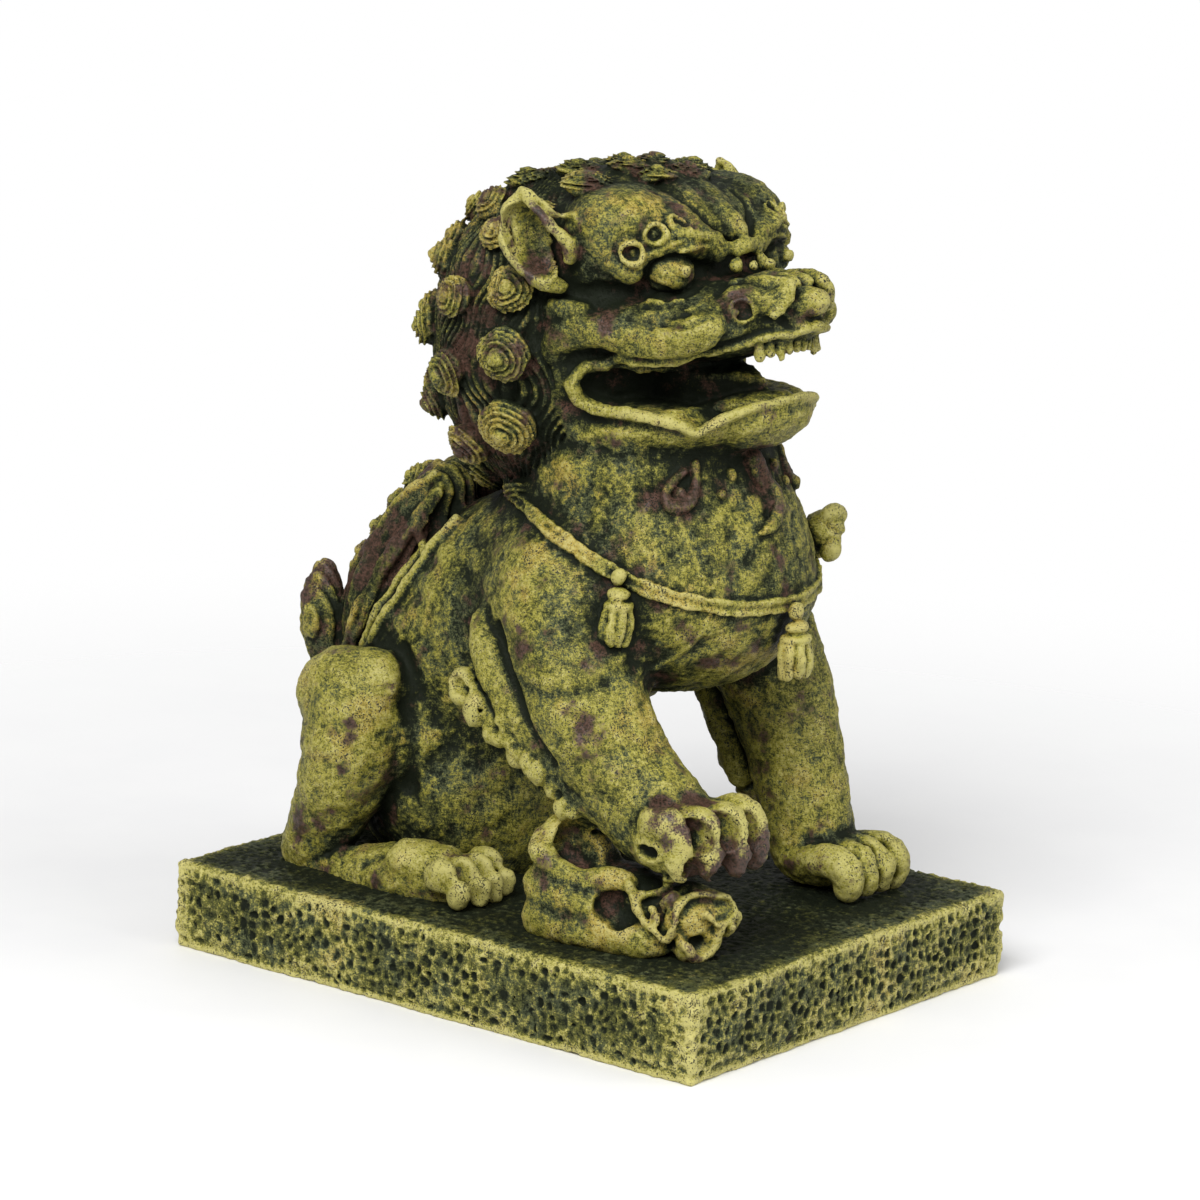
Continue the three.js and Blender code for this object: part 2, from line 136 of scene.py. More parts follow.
def egg(centre, radii, turn=(0, 0, 0), axes=None):
    """An ellipsoid, turned by degrees or standing on the given axes"""
    centre = np.array(centre, np.float32)
    radii = np.array(radii, np.float32)
    axes = turned(turn) if axes is None else axes
    reach = np.sqrt(((axes * radii) ** 2).sum(axis=1))

    def distance(x, y, z):
        x, y, z = x - centre[0], y - centre[1], z - centre[2]
        far = near = 0
        for k in range(3):
            part = (axes[0, k] * x + axes[1, k] * y + axes[2, k] * z) / radii[k]
            far = far + part ** 2
            near = near + (part / radii[k]) ** 2
        far = np.sqrt(far)
        return far * (far - 1) / np.maximum(np.sqrt(near), 1e-4)

    return [Stroke(centre - reach, centre + reach, distance)]


def along(points, count):
    """Points on a smooth curve through the given ones"""
    points = np.array(points, np.float32)
    places = np.linspace(0, len(points) - 1, count)
    start = np.minimum(places.astype(int), len(points) - 2)
    t = (places - start)[:, None]
    padded = np.vstack([2 * points[0] - points[1], points, 2 * points[-1] - points[-2]])
    a, b, c, d = (padded[start + k] for k in range(4))
    return 0.5 * (2 * b + (c - a) * t + (2 * a - 5 * b + 4 * c - d) * t ** 2
                  + (3 * b - a - 3 * c + d) * t ** 3)


def limb(points, radii, count=None):
    """A round tapered limb along a smooth curve"""
    count = count or 4 * len(points)
    places = along(points, count)
    widths = along(np.array(radii, np.float32)[:, None], count)[:, 0]
    strokes = []
    for a, b, ra, rb in zip(places[:-1], places[1:], widths[:-1], widths[1:]):
        strokes.append(cone(a, b, ra, rb))
    return strokes


def cone(a, b, ra, rb):
    """A straight round limb from a to b, with a radius at each end"""
    run = b - a
    length = max(float(run @ run), 1e-6)

    def distance(x, y, z):
        x, y, z = x - a[0], y - a[1], z - a[2]
        t = np.clip((x * run[0] + y * run[1] + z * run[2]) / length, 0, 1)
        return np.sqrt((x - t * run[0]) ** 2 + (y - t * run[1]) ** 2 + (z - t * run[2]) ** 2) \
            - (ra + (rb - ra) * t)

    reach = max(ra, rb)
    return Stroke(np.minimum(a, b) - reach, np.maximum(a, b) + reach, distance)


def smooth_min(a, b, soft):
    """The nearer of two distances, with a fillet of about the given size where they meet"""
    if soft <= 0:
        return np.minimum(a, b)
    return np.minimum(a, b) - np.maximum(soft - np.abs(a - b), 0) ** 2 / (4 * soft)


def smooth_step(value, start, stop):
    t = np.clip((value - start) / (stop - start), 0, 1)
    return t * t * (3 - 2 * t)


# ---------------------------------------------------------------------------
# The clay

SEAM_LEAN = 0.25  # how strongly a seam between two pieces follows their own shapes
PIECE_REACH = 1.7  # how far a piece may take in clay outside its own shape
LINE_REACH = 2.6  # widths of a drawn line over which it changes the clay
# What the paint knows of the shape, which darkens hollows with the wash and painted shade: tone, radius of the clay
# weighed, grid stride
TONES = (("pore", 0.8, 1), ("fold", 2.0, 2), ("shade", 6.0, 4))

# Places where the paint is worn down to the brown casting: centre, radius and strength
BARE_SPOTS = (
    ((-30.7, -37, 39.6), 2.4, 0.5), ((-25.4, -40, 40.6), 2.4, 0.5), ((-30.4, -42.6, 36.2), 2.0, 0.6),
    ((-25.9, -45.2, 37.4), 2.0, 0.6), ((-20.6, -45.6, 36.8), 2.0, 0.6), ((-26, -45, 31), 4.5, 0.5),
    ((-20, -46, 30), 4.0, 0.5), ((-28, -4.5, 126), 5.0, 0.28), ((28, -4.5, 126), 5.0, 0.28),
    ((-11.5, -33, 118.6), 1.8, 0.1), ((-27, 8, 107), 4.0, 0.16), ((-10, 38, 66), 8.0, 0.18),
    ((10, 38, 66), 8.0, 0.18), ((-11, 51, 60), 4.0, 0.25), ((-14, -30, 62), 6.0, 0.14),
    ((-33, -9, 60), 3.0, 0.2), ((0, -36, 90), 6.0, 0.1), ((-21, -14, 113), 2.5, 0.15),
)


def within(part, cut):
    """The slices of a part of the grid, counted from the start of the cut that holds it"""
    return tuple(slice(s.start - o.start, s.stop - o.start) for s, o in zip(part, cut))


class Clay:
    """A block of clay: the distance to the sculpted surface at every point of a grid"""

    def __init__(self, low, high, step):
        self.step = step
        self.axes = [np.arange(a, b, step, dtype=np.float32) for a, b in zip(low, high)]
        shape = [len(axis) for axis in self.axes]
        self.field = np.full(shape, FAR, np.float32)
        self.nearest = np.full(shape, FAR, np.float32)
        self.pieces = {}
        self.tones = {}

    def window(self, low, high, pad):
        """The part of the grid in a box: its slices and its coordinates, or None outside"""
        cut = []
        for axis, a, b in zip(self.axes, low, high):
            start, stop = np.searchsorted(axis, (a - pad, b + pad))
            if stop - start < 2:
                return None
            cut.append(slice(int(start), int(stop)))
        x, y, z = (axis[part] for axis, part in zip(self.axes, cut))
        return tuple(cut), (x[:, None, None], y[None, :, None], z[None, None, :])

    def add(self, name, strokes, soft, own=1.0, pad=4.0):
        """Adds a piece of strokes, joined to the clay with a fillet of size soft"""
        low = np.min([stroke.low for stroke in strokes], axis=0)
        high = np.max([stroke.high for stroke in strokes], axis=0)
        found = self.window(low, high, pad)
        if found is None:
            return
        cut, _ = found
        shape = np.full(self.field[cut].shape, FAR, np.float32)
        for stroke in strokes:
            inner = self.window(stroke.low, stroke.high, pad)
            if inner is None:
                continue
            part, (x, y, z) = inner
            local = within(part, cut)
            shape[local] = smooth_min(shape[local], stroke.distance(x, y, z).astype(np.float32), own)
        self.field[cut] = smooth_min(self.field[cut], shape, soft)
        self.nearest[cut] = np.minimum(self.nearest[cut], shape)
        if name in self.pieces:
            raise RuntimeError(f"piece {name} is sculpted twice")
        self.pieces[name] = (cut, shape)

    def carve(self, strokes, soft=0.6):
        """Takes the strokes' shapes out of the clay"""
        for stroke in strokes:
            found = self.window(stroke.low, stroke.high, soft + 1)
            if found is None:
                continue
            cut, (x, y, z) = found
            self.field[cut] = -smooth_min(-self.field[cut], stroke.distance(x, y, z), soft)

    def sample(self, grid, points, stride=1):
        """Values of a grid at points, by linear blending"""
        points = np.atleast_2d(points)
        index, part = [], []
        for k in range(3):
            place = (points[:, k] - self.axes[k][0]) / (self.step * stride)
            place = np.clip(place, 0, grid.shape[k] - 1.001)
            index.append(place.astype(int))
            part.append(place - index[-1])
        total = 0
        for corner in np.ndindex(2, 2, 2):
            weight = 1
            for k in range(3):
                weight = weight * (part[k] if corner[k] else 1 - part[k])
            total = total + weight * grid[tuple(index[k] + corner[k] for k in range(3))]
        return total

    def slope(self, points):
        """The direction straight out of the clay at points"""
        points = np.atleast_2d(np.array(points, np.float32))
        out = np.zeros_like(points)
        for k in range(3):
            shift = np.zeros(3, np.float32)
            shift[k] = 1.5 * self.step
            out[:, k] = self.sample(self.field, points + shift) - self.sample(self.field, points - shift)
        return out / np.maximum(np.linalg.norm(out, axis=1, keepdims=True), 1e-6)

    def settle(self, points, lift=0.0):
        """Moves points straight onto the surface, or to a height over it"""
        points = np.atleast_2d(np.array(points, np.float32))
        for _ in range(8):
            height = self.sample(self.field, points)[:, None] - lift
            points = points - 0.8 * height * self.slope(points)
        return points

    def inside(self, point):
        return all(axis[0] + 1 < value < axis[-1] - 1 for axis, value in zip(self.axes, point))

    def crease(self, points, depth, width, count=None):
        """Draws a groove along a curve laid on the surface; a negative depth raises a line"""
        if not all(self.inside(point) for point in points):
            return
        places = self.settle(along(points, count or 5 * len(points)))
        found = self.window(places.min(axis=0), places.max(axis=0), LINE_REACH * width)
        if found is None:
            return
        cut, (x, y, z) = found
        nearest = np.full(self.field[cut].shape, FAR, np.float32)
        for a, b in zip(places[:-1], places[1:]):
            nearest = np.minimum(nearest, cone(a, b, 0, 0).distance(x, y, z))
        self.field[cut] += depth * np.exp(-(nearest / width) ** 2)

    def measure_line(self, cut, places, reach):
        """Distance to the line through the places, measured within reach of it"""
        nearest = np.full(self.field[cut].shape, FAR, np.float32)
        for a, b in zip(places[:-1], places[1:]):
            part, (x, y, z) = self.window(np.minimum(a, b), np.maximum(a, b), reach)
            local = within(part, cut)
            nearest[local] = np.minimum(nearest[local], cone(a, b, 0, 0).distance(x, y, z))
        return nearest

    def dent(self, centre, radius, depth):
        """Presses a round dent into the surface, or raises a bump with a negative depth"""
        centre = np.array(centre, np.float32)
        found = self.window(centre, centre, 2.2 * radius)
        if found is None:
            return
        cut, (x, y, z) = found
        far = (x - centre[0]) ** 2 + (y - centre[1]) ** 2 + (z - centre[2]) ** 2
        self.field[cut] += depth * np.exp(-far / radius ** 2)

    def comb(self, name, wave):
        """Adds a pattern of relief to one piece's surface: wave(x, y, z) gives its depth"""
        if name not in self.pieces:
            return
        cut, shape = self.pieces[name]
        field = self.field[cut]
        near = np.nonzero((np.abs(field) < 1.6) & (shape - self.nearest[cut] < 0.8))
        x, y, z = (axis[part][index] for axis, part, index in zip(self.axes, cut, near))
        field[near] += wave(x, y, z)

    def roughen(self, depth, wavelength, seed):
        """Low uneven relief all over, as a worn mould leaves it"""
        chance = np.random.RandomState(seed)
        near = np.nonzero(np.abs(self.field) < 1.2)
        place = np.stack([axis[index] for axis, index in zip(self.axes, near)])
        total = np.zeros(place.shape[1], np.float32)
        for _ in range(12):
            direction = chance.normal(size=3)
            direction *= 2 * math.pi / (np.linalg.norm(direction) * wavelength * chance.uniform(0.6, 1.7))
            total += np.sin(direction.astype(np.float32) @ place + np.float32(chance.uniform(0, 6.28)))
        self.field[near] += depth * total / 3

    def weigh(self):
        """Measures how much clay lies round each point, near and far, for the paint's wash and painted shade"""
        solid = np.clip(0.5 - self.field / (2 * self.step), 0, 1)
        for tone, radius, stride in TONES:
            coarse = solid[::stride, ::stride, ::stride]
            reach = max(1, round(radius / (self.step * stride)))
            self.tones[tone] = (blur(blur(coarse, reach), reach), stride)

    def mesh(self, name):
        """The surface of one piece, as vertices, four-sided faces and the tones at each vertex"""
        cut, shape = self.pieces[name]
        seam = self.field[cut] + SEAM_LEAN * (shape - self.nearest[cut])
        vertices, faces = surface(np.maximum(seam, shape - PIECE_REACH), self.step)
        vertices = vertices + np.array([axis[part][0] for axis, part in zip(self.axes, cut)])
        tones = {tone: self.sample(grid, vertices, stride) for tone, (grid, stride) in self.tones.items()}
        bare = np.zeros(len(vertices))
        for centre, radius, strength in BARE_SPOTS:
            far = ((vertices - np.array(centre)) ** 2).sum(axis=1)
            bare = np.maximum(bare, strength * np.exp(-far / radius ** 2))
        tones["bare"] = bare
        return vertices, faces, tones


def blur(grid, reach):
    """Mean over a box that reaches that many cells each way"""
    for axis in range(3):
        pads = [(0, 0)] * 3
        pads[axis] = (reach + 1, reach)
        total = np.cumsum(np.pad(grid, pads, mode="edge"), axis=axis, dtype=np.float32)
        size = total.shape[axis]
        width = 2 * reach + 1
        upper = np.take(total, range(width, size), axis=axis)
        lower = np.take(total, range(0, size - width), axis=axis)
        grid = (upper - lower) / width
    return grid


def surface(field, step):
    """Surface nets: one vertex in each cell that the surface passes, one face on each crossed edge"""
    field = np.pad(field, 1, constant_values=FAR)
    inside = field < 0
    corners = list(np.ndindex(2, 2, 2))
    spans = [slice(0, -1), slice(1, None)]
    count = sum(inside[tuple(spans[c] for c in corner)].astype(np.int8) for corner in corners)
    cells = np.nonzero((count > 0) & (count < 8))
    values = {corner: field[tuple(cells[k] + corner[k] for k in range(3))] for corner in corners}
    total = np.zeros((len(cells[0]), 3), np.float32)
    crossings = np.zeros(len(cells[0]), np.float32)
    for corner in corners:
        for k in range(3):
            if corner[k]:
                continue
            other = tuple(1 if j == k else corner[j] for j in range(3))
            a, b = values[corner], values[other]
            crossed = (a < 0) != (b < 0)
            t = np.where(crossed, a / np.where(crossed, a - b, 1), 0)
            for j in range(3):
                total[:, j] += crossed * (t if j == k else corner[j])
            crossings += crossed
    vertices = (np.stack(cells, axis=1) + total / crossings[:, None] - 1) * step
    number = np.full(count.shape, -1, np.int32)
    number[cells] = np.arange(len(cells[0]))
    faces = []
    for k in range(3):
        ahead = [slice(1, -1)] * 3
        ahead[k] = slice(1, None)
        here = [slice(1, -1)] * 3
        here[k] = slice(0, -1)
        first, second = inside[tuple(here)], inside[tuple(ahead)]
        for flip, crossed in ((False, first & ~second), (True, ~first & second)):
            place = np.stack(np.nonzero(crossed), axis=1)
            place += 1
            place[:, k] -= 1
            u, v = (k + 1) % 3, (k + 2) % 3
            ring = []
            for du, dv in ((1, 1), (0, 1), (0, 0), (1, 0)):
                cell = place.copy()
                cell[:, u] -= du
                cell[:, v] -= dv
                ring.append(number[tuple(cell.T)])
            quad = np.stack(ring, axis=1)
            faces.append(quad[:, ::-1] if flip else quad)
    return vertices, np.concatenate(faces)


CRUMB = 80  # faces; smaller islands of a piece are left out


def keep_large(faces, vertex_count):
    """Leaves out crumbs of clay"""
    label = np.arange(vertex_count)
    while True:
        lowest = label[faces].min(axis=1)
        before = label.copy()
        for k in range(4):
            np.minimum.at(label, faces[:, k], lowest)
        label = label[label]
        if np.array_equal(label, before):
            break
    island = label[faces[:, 0]]
    size = np.bincount(island, minlength=vertex_count)
    return faces[size[island] >= CRUMB]


# ---------------------------------------------------------------------------
# The lion, piece by piece

def mirrored(side, point):
    """A point given for the left side, on the wanted side"""
    return (side * point[0], point[1], point[2])


def on(side, *points):
    """Points given for the left side, on the wanted side"""
    return [mirrored(side, point) for point in points]


def both(points):
    """The same points on the right side and on the left"""
    return [on(side, *points) for side in (RIGHT, LEFT)]


def frame_on(direction, up=(0, 0, 1)):
    """Axes with the third along a direction, as matrix columns"""
    out = Vector(direction).normalized()
    across = Vector(up).cross(out)
    if across.length < 0.05:
        across = Vector((1, 0, 0))
    across.normalize()
    return np.array((across, out.cross(across), out), np.float32).T


CURL_BAND = 1.15  # width of one turn of a curl
CURL_CUT = 1.05  # depth of the groove between two turns
CURL_GROOVE = 0.33  # half of the groove's width


def curl(centre, outward, radius, turn=0.0, hand=1, tall=0.72):
    """A snail curl: a low dome wound with one uneven spiral groove round a knob"""
    axes = frame_on(outward)
    centre = np.array(centre, np.float32)
    height = radius * tall
    knob = 0.3 * radius
    dome = egg(centre, (radius, radius, height), axes=axes)[0]
    boss = egg(centre + axes[:, 2] * 0.6 * height, (knob, knob, 0.48 * height), axes=axes)[0]

    def distance(x, y, z):
        smooth, raised = dome.distance(x, y, z), boss.distance(x, y, z)
        x, y, z = x - centre[0], y - centre[1], z - centre[2]
        u, v, w = (axes[0, k] * x + axes[1, k] * y + axes[2, k] * z for k in range(3))
        slant = np.arctan2(np.hypot(u, v) / radius, np.maximum(w, 0) / height) * radius * 0.86
        around = np.arctan2(v, u)
        wobble = 0.13 * np.sin(3 * around + 9 * turn)
        phase = slant / CURL_BAND - hand * around / (2 * math.pi) + turn + wobble
        near = (0.5 - np.abs(phase - np.floor(phase) - 0.5)) * CURL_BAND
        cut = np.exp(-(near / CURL_GROOVE) ** 2) * smooth_step(slant, 0.7 * knob, knob)
        return np.minimum(smooth + CURL_CUT * cut, raised)

    return [Stroke(dome.low - 0.3, dome.high + 0.3, distance)]


TRUNK = (egg((0, -15, 69), (24.6, 22.6, 18.6)) + egg((0, 2, 65), (24, 19, 21.5))
         + egg((0, 14, 58), (23.5, 19, 22)) + egg((0, 24, 48), (23, 19.5, 23))
         + egg((0, 30, 33), (21, 18, 23)) + egg((0, 22, 28), (22.5, 19.5, 21))
         + egg((0, -6, 83), (20, 21, 11)) + egg((0, -10, 88.5), (21.2, 19.6, 11.5))
         + egg((0, -14, 79), (21.5, 20.5, 12)))


def sculpt_torso(clay):
    clay.add("torso", TRUNK, soft=0, own=4.0)
    for side in (RIGHT, LEFT):
        # Locks of hair run down each side of the back over a low mat of hair
        mat = limb(on(side, (6, 29, 78), (8.5, 35, 68), (10.5, 40.5, 58), (11, 43, 45)),
                   [4.6, 5.0, 4.6, 3])
        clay.add(f"back_locks_{SIDE_NAME[side]}", mat, soft=2.5, own=2.0)
        clay.comb(f"back_locks_{SIDE_NAME[side]}", lambda x, y, z: 0.9 * (1 - np.abs(np.sin(
            math.pi * (np.abs(x) + 0.16 * z + 0.5 * np.sin(z / 5)) / 2.1))))
    ridge = limb([(0, 31, 80), (0, 37.5, 74.5), (0, 44, 67.5), (0, 48, 60)], [3, 3.6, 3.6, 2.4])
    for k in range(4):
        for side in (RIGHT, LEFT):
            ridge += curl((2.3 * side, 39.5 + 3.5 * k, 77.5 - 4.9 * k),
                          (1.3 * side, 1.0, 0.9), 3.1, hand=side)
    clay.add("spine_ridge", ridge, soft=0.8, own=0.8)
    sculpt_tail(clay)
    sculpt_back_locks(clay)


def sculpt_tail(clay):
    """The broad flame-shaped tail that lies up against the rump, in curling locks"""
    tail = limb([(0, 44, 17), (0, 48, 31), (0, 49.5, 44), (0, 50.5, 60)], [6, 6.5, 5.5, 2.2])
    for side in (RIGHT, LEFT):
        for points, radii in (
                (((4, 46, 20), (9, 48, 29), (12, 49.5, 38), (10.5, 51, 45)), (3.5, 4, 3.6, 1.6)),
                (((3, 47, 30), (8, 49, 42), (12.5, 50.5, 53), (11, 52, 61)), (3.5, 4, 3.8, 1.8))):
            tail += limb(on(side, *points), radii)
    tail += curl((-11.2, 51.5, 58), (-0.3, 1, 0.3), 3.6) + curl((11.2, 51.5, 58), (0.3, 1, 0.3), 3.6, hand=-1)
    tail += curl((-11, 51, 43), (-0.3, 1, 0.1), 3.3) + curl((11, 51, 43), (0.3, 1, 0.1), 3.3, hand=-1)
    clay.add("tail", tail, soft=0.8, own=1.5)
    clay.comb("tail", lambda x, y, z: 0.7 * (1 - np.abs(np.sin(
        math.pi * (np.abs(x) - 0.12 * z + 0.5 * np.sin(z / 4)) / 1.9))))
    for side in (RIGHT, LEFT):
        for shift in (0, 2.2, 4.2):
            clay.crease(on(side, (0.8 + shift, 51, 20), (1.0 + 1.2 * shift, 54, 32),
                           (1.2 + 1.6 * shift, 55, 42), (0.6 + 1.3 * shift, 53, 56)), 0.9, 0.5)
        for low in (24, 33):
            clay.crease(on(side, (5.5, 52, low), (9.5, 52, low + 8), (11.5, 53, low + 15)), 0.8, 0.45)


def sculpt_back_locks(clay):
    """Long raised strands of hair fan out from under the mane down to the rump"""
    strands = 7
    for strand in range(strands):
        spread = strand / (strands - 1)
        for points in both([(4 + 12 * spread, 32 - 9 * spread, 80 - 2 * spread),
                            (4.6 + 15 * spread, 40 - 12 * spread, 71 - 4 * spread),
                            (5.4 + 16.5 * spread, 46 - 13 * spread, 61 - 5 * spread),
                            (6 + 16 * spread, 49 - 11 * spread, 51 - 5 * spread)]):
            places = clay.settle(along(points, 36), 0.5)
            raise_line(clay, places, 0.85)


# Toes of the raised forepaw, then the deep hollows between them: centre and radii
FOREPAW_RIGHT_TOES = ((-32.0, -40.4), (-28.0, -43.4), (-22.8, -44.8), (-17.6, -44.4))
FOREPAW_RIGHT_HOLLOWS = (
    ((-30.0, -43.4, 35.8), (1.7, 4.2, 2.9)), ((-25.4, -46.0, 36.2), (2.1, 4.4, 3.2)),
    ((-20.2, -46.8, 35.6), (2.1, 4.4, 3.4)), ((-30.8, -43.6, 30.8), (1.9, 4.0, 1.9)),
    ((-26.0, -45.8, 30.4), (2.1, 4.2, 2.2)), ((-20.4, -46.4, 30.0), (2.1, 4.0, 2.2)),
    ((-33.4, -36.6, 32.6), (1.6, 2.4, 1.4)))


def toes(spots, knuckle, tip, sizes):
    """Toes side by side: from the instep over the knuckle and down to the tip"""
    strokes = []
    for x in spots:
        (y, z), (ky, kz), (ty, tz) = knuckle[0], knuckle[1], tip
        joint = (x, (ky + ty) / 2 - 1.2, (kz + tz) / 2 + 0.6)
        strokes += limb([(x, y, z), (x, ky, kz), joint, (x, ty, tz)], sizes)
    return strokes


def sculpt_forelegs(clay):
    right = egg((-18.2, -6, 65), (12, 13, 15)) + limb(
        [(-21, -9, 66), (-25, -16.5, 52), (-24.5, -24, 42), (-24, -33, 35)], [10.6, 9.4, 8.2, 7.6])
    # Flange behind the elbow
    right += limb([(-26, 4.0, 62.4), (-28.6, 0.0, 56.5), (-29.4, -6, 50), (-29.2, -13, 44), (-28, -21, 37)],
                  [1.9, 2.7, 2.7, 2.6, 2.6])
    right += limb([(-27.6, 1.0, 58.5), (-28.0, -6, 52), (-27.6, -14, 46)], [2.2, 3.4, 3.6])
    right += egg((-24.8, -37.2, 33.6), (9.2, 8.0, 6.2))
    for x, y in FOREPAW_RIGHT_TOES:
        right += limb([(x, y + 4, 37.4), (x, y, 37.2), (x + 0.4, y - 1.6, 33.4), (x + 0.6, y - 1.2, 29.6)],
                      [2.1, 1.8, 1.4, 1.1])
    clay.add("foreleg_right", right, soft=4.5, own=1.8)
    left = egg((18.2, -6, 65), (12, 13, 15)) + limb(
        [(21, -9, 66), (24, -18, 50), (24, -24, 36), (24, -28, 22)], [11, 9.2, 7.7, 7.1])
    left += limb([(25, 3, 60), (24, -3, 50), (23, -8, 42), (22.5, -14, 31)], [3.4, 2.8, 2.6, 2.2])
    left += egg((24, -31, 20), (8.2, 8.4, 5.0))
    left += toes((17.4, 21.9, 26.4, 30.8), ((-33, 21.0), (-38.0, 21.2)), (-40.6, 16.6), [2.0, 2.4, 2.1, 1.4])
    clay.add("foreleg_left", left, soft=4.5, own=1.3)
    # Folds round the upper arm and the wrist
    for points in both([(33.5, -9, 55.5), (35.5, -15, 54.8), (34, -21.5, 56.2), (30.5, -25, 58)]):
        clay.crease(points, 0.8, 1.3)
    clay.crease([(-29.5, -1.5, 62.5), (-31.5, -6, 56), (-32.5, -11, 50), (-32, -17, 44.5)], 1.8, 1.1)
    clay.crease([(29.5, 0, 62), (29.5, -6, 54), (28.5, -13, 45)], 1.2, 1.0)
    for centre, radii in FOREPAW_RIGHT_HOLLOWS:
        clay.carve(egg(centre, radii), soft=0.5)
    for centre in ((-30.7, -37, 39.6), (-25.4, -40.0, 40.6)):
        clay.dent(centre, 1.7, 1.3)
    for x in (19.4, 24.1, 28.7):
        clay.dent((x, -38.9, 21.6), 1.3, 2.6)
        clay.dent((x, -40.8, 18.0), 1.3, 2.6)
    sculpt_fringes(clay)


def sculpt_fringes(clay):
    """A lumpy fringe of hair hangs from each elbow, starting in a ring"""
    paths = {
        RIGHT: [(-30.5, 3.9, 52.5), (-31, -1.2, 48.6), (-31, -6.5, 44.8), (-30.6, -12.4, 41),
                (-29.5, -19.5, 35.2)],
        LEFT: [(27.5, 3, 53), (26.5, -2, 47), (25.5, -6.5, 41), (24.5, -11, 34.5), (24, -15.5, 27)],
    }
    for side, path in paths.items():
        chance = np.random.RandomState(11 + side)
        name = f"elbow_fringe_{SIDE_NAME[side]}"
        lumps = limb(path, [1.6, 1.5, 1.6, 1.5, 1.0])
        places = along(path, 13)
        for k, place in enumerate(places):
            size = 1.2 + 1.6 * chance.uniform() if k else 2.7
            shift = chance.normal(size=3) * (1.0 if k else 0)
            lumps += egg(place + shift + (0.6 * side, 0, -0.4), (size, size, 1.25 * size))
        clay.add(name, lumps, soft=0.6, own=0.5)
        ring = places[0] + (1.8 * side, 0, 0)
        clay.dent(ring, 1.3, 3.0)
        for k in range(1, 12):
            if k % 2:
                clay.dent(places[k] + (1.6 * side, 0.4, 0.6), 0.7, 1.4)


def sculpt_hind_legs(clay):
    for side in (RIGHT, LEFT):
        name = SIDE_NAME[side]
        thigh = (egg(mirrored(side, (25.6, 31.5, 45.0)), (6.6, 9.6, 8.0))
                 + egg(mirrored(side, (25, 36, 44)), (7, 7, 7.6))
                 + egg(mirrored(side, (25, 27, 48)), (5.6, 5.6, 5.2))
                 + egg(mirrored(side, (17.5, 29, 39)), (10, 12.5, 12))
                 + limb(on(side, (25.5, 31, 43), (26.4, 32.5, 32), (26, 38, 20), (25.5, 40, 16)),
                        [8.2, 7.2, 5.2, 4.6]))
        clay.add(f"hind_leg_{name}", thigh, soft=1.5, own=2.0)
        # Groove between the leg and the flank
        clay.crease(on(side, (22, 24, 53), (25.5, 20, 46.5), (25, 19.3, 39), (23.5, 21.5, 30)), 1.6, 1.3)
        foot = limb(on(side, (26, 41, 14.6), (27, 30, 14.6), (27.4, 20, 16), (27.2, 10, 17.6)),
                    [3.6, 4.2, 5.4, 5.4])
        foot += egg(mirrored(side, (29.2, 14.5, 20.2)), (4.4, 6.0, 3.6))
        spots = [27 + 3.9 * k for k in (-1.5, -0.5, 0.5, 1.5)]
        for k, x in enumerate(spots):
            shift = (0.6, -0.6, -0.9, 0.3)[k]
            foot += egg(mirrored(side, (x, 5.6 + shift, 20.0)), (2.1, 3.4, 2.7), (-14, 0, 0))
            foot += egg(mirrored(side, (x, 1.6 + shift, 17.4)), (1.9, 2.2, 2.6), (16, 0, 0))
        clay.add(f"hind_paw_{name}", foot, soft=0.8, own=0.9)
        for x in spots[:-1]:
            clay.dent((side * (x + 1.95), 3.4, 20.6), 1.2, 2.4)
            clay.dent((side * (x + 1.95), 0.2, 17.2), 1.2, 2.4)
            clay.dent((side * (x + 0.2), 3.6, 18.4), 0.9, 1.2)
        clay.crease(on(side, (33.5, 24, 19), (32.5, 20.5, 22), (28, 19, 24)), 1.0, 0.8)


# The cub's ruff and face: winding ridges, given as points along each
CUB_RIDGES = (
    ((-31.4, -31.6, 26.2), (-31.6, -33.2, 24.4), (-32, -34.6, 22.0), (-32, -36.5, 19.6), (-31.6, -39.3, 18.4),
     (-30.2, -40.6, 20.4), (-28.8, -40.6, 23.0), (-28, -41.9, 25.2), (-25, -44.1, 25.7), (-22, -45.4, 25.0),
     (-20.4, -46.0, 22.6), (-23, -46.2, 21.0), (-25.8, -45.4, 20.8), (-27.4, -44.0, 22.6)),
    ((-31.2, -35.2, 25.4), (-30.4, -37.4, 26.6), (-29, -38.6, 27.3)),
    ((-31.0, -36.4, 22.6), (-30.6, -38.6, 20.4), (-29.6, -39.0, 22.4), (-29.2, -39.4, 24.6)),
    ((-30.4, -41.6, 18.4), (-29.4, -43.2, 16.2), (-27.6, -44.6, 15.4), (-25.4, -45.0, 17.4),
     (-24.8, -45.4, 19.4)),
    ((-22.6, -46.4, 19.6), (-21.6, -46.6, 17.6), (-19.6, -46.0, 18.4), (-19.0, -45.4, 21.0)),
)
CUB_HOLLOWS = (
    ((-29.8, -20.6, 29.8), (2.9, 6.0, 4.4)), ((-33.6, -29.4, 22.4), (3.2, 2.6, 2.6)),
    ((-33.2, -31.6, 21.4), (2.8, 2.6, 3.0)), ((-33.4, -30.4, 23.6), (2.6, 3.2, 1.4)),
    ((-31.0, -37.6, 23.6), (1.6, 1.2, 2.2)), ((-26.2, -45.4, 23.2), (1.3, 1.5, 1.2)),
    ((-28.4, -43.6, 17.9), (1.7, 1.6, 1.5)), ((-22.2, -46.8, 23.0), (1.3, 1.4, 1.1)),
    ((-24.0, -46.8, 18.2), (1.2, 1.4, 1.4)),
)


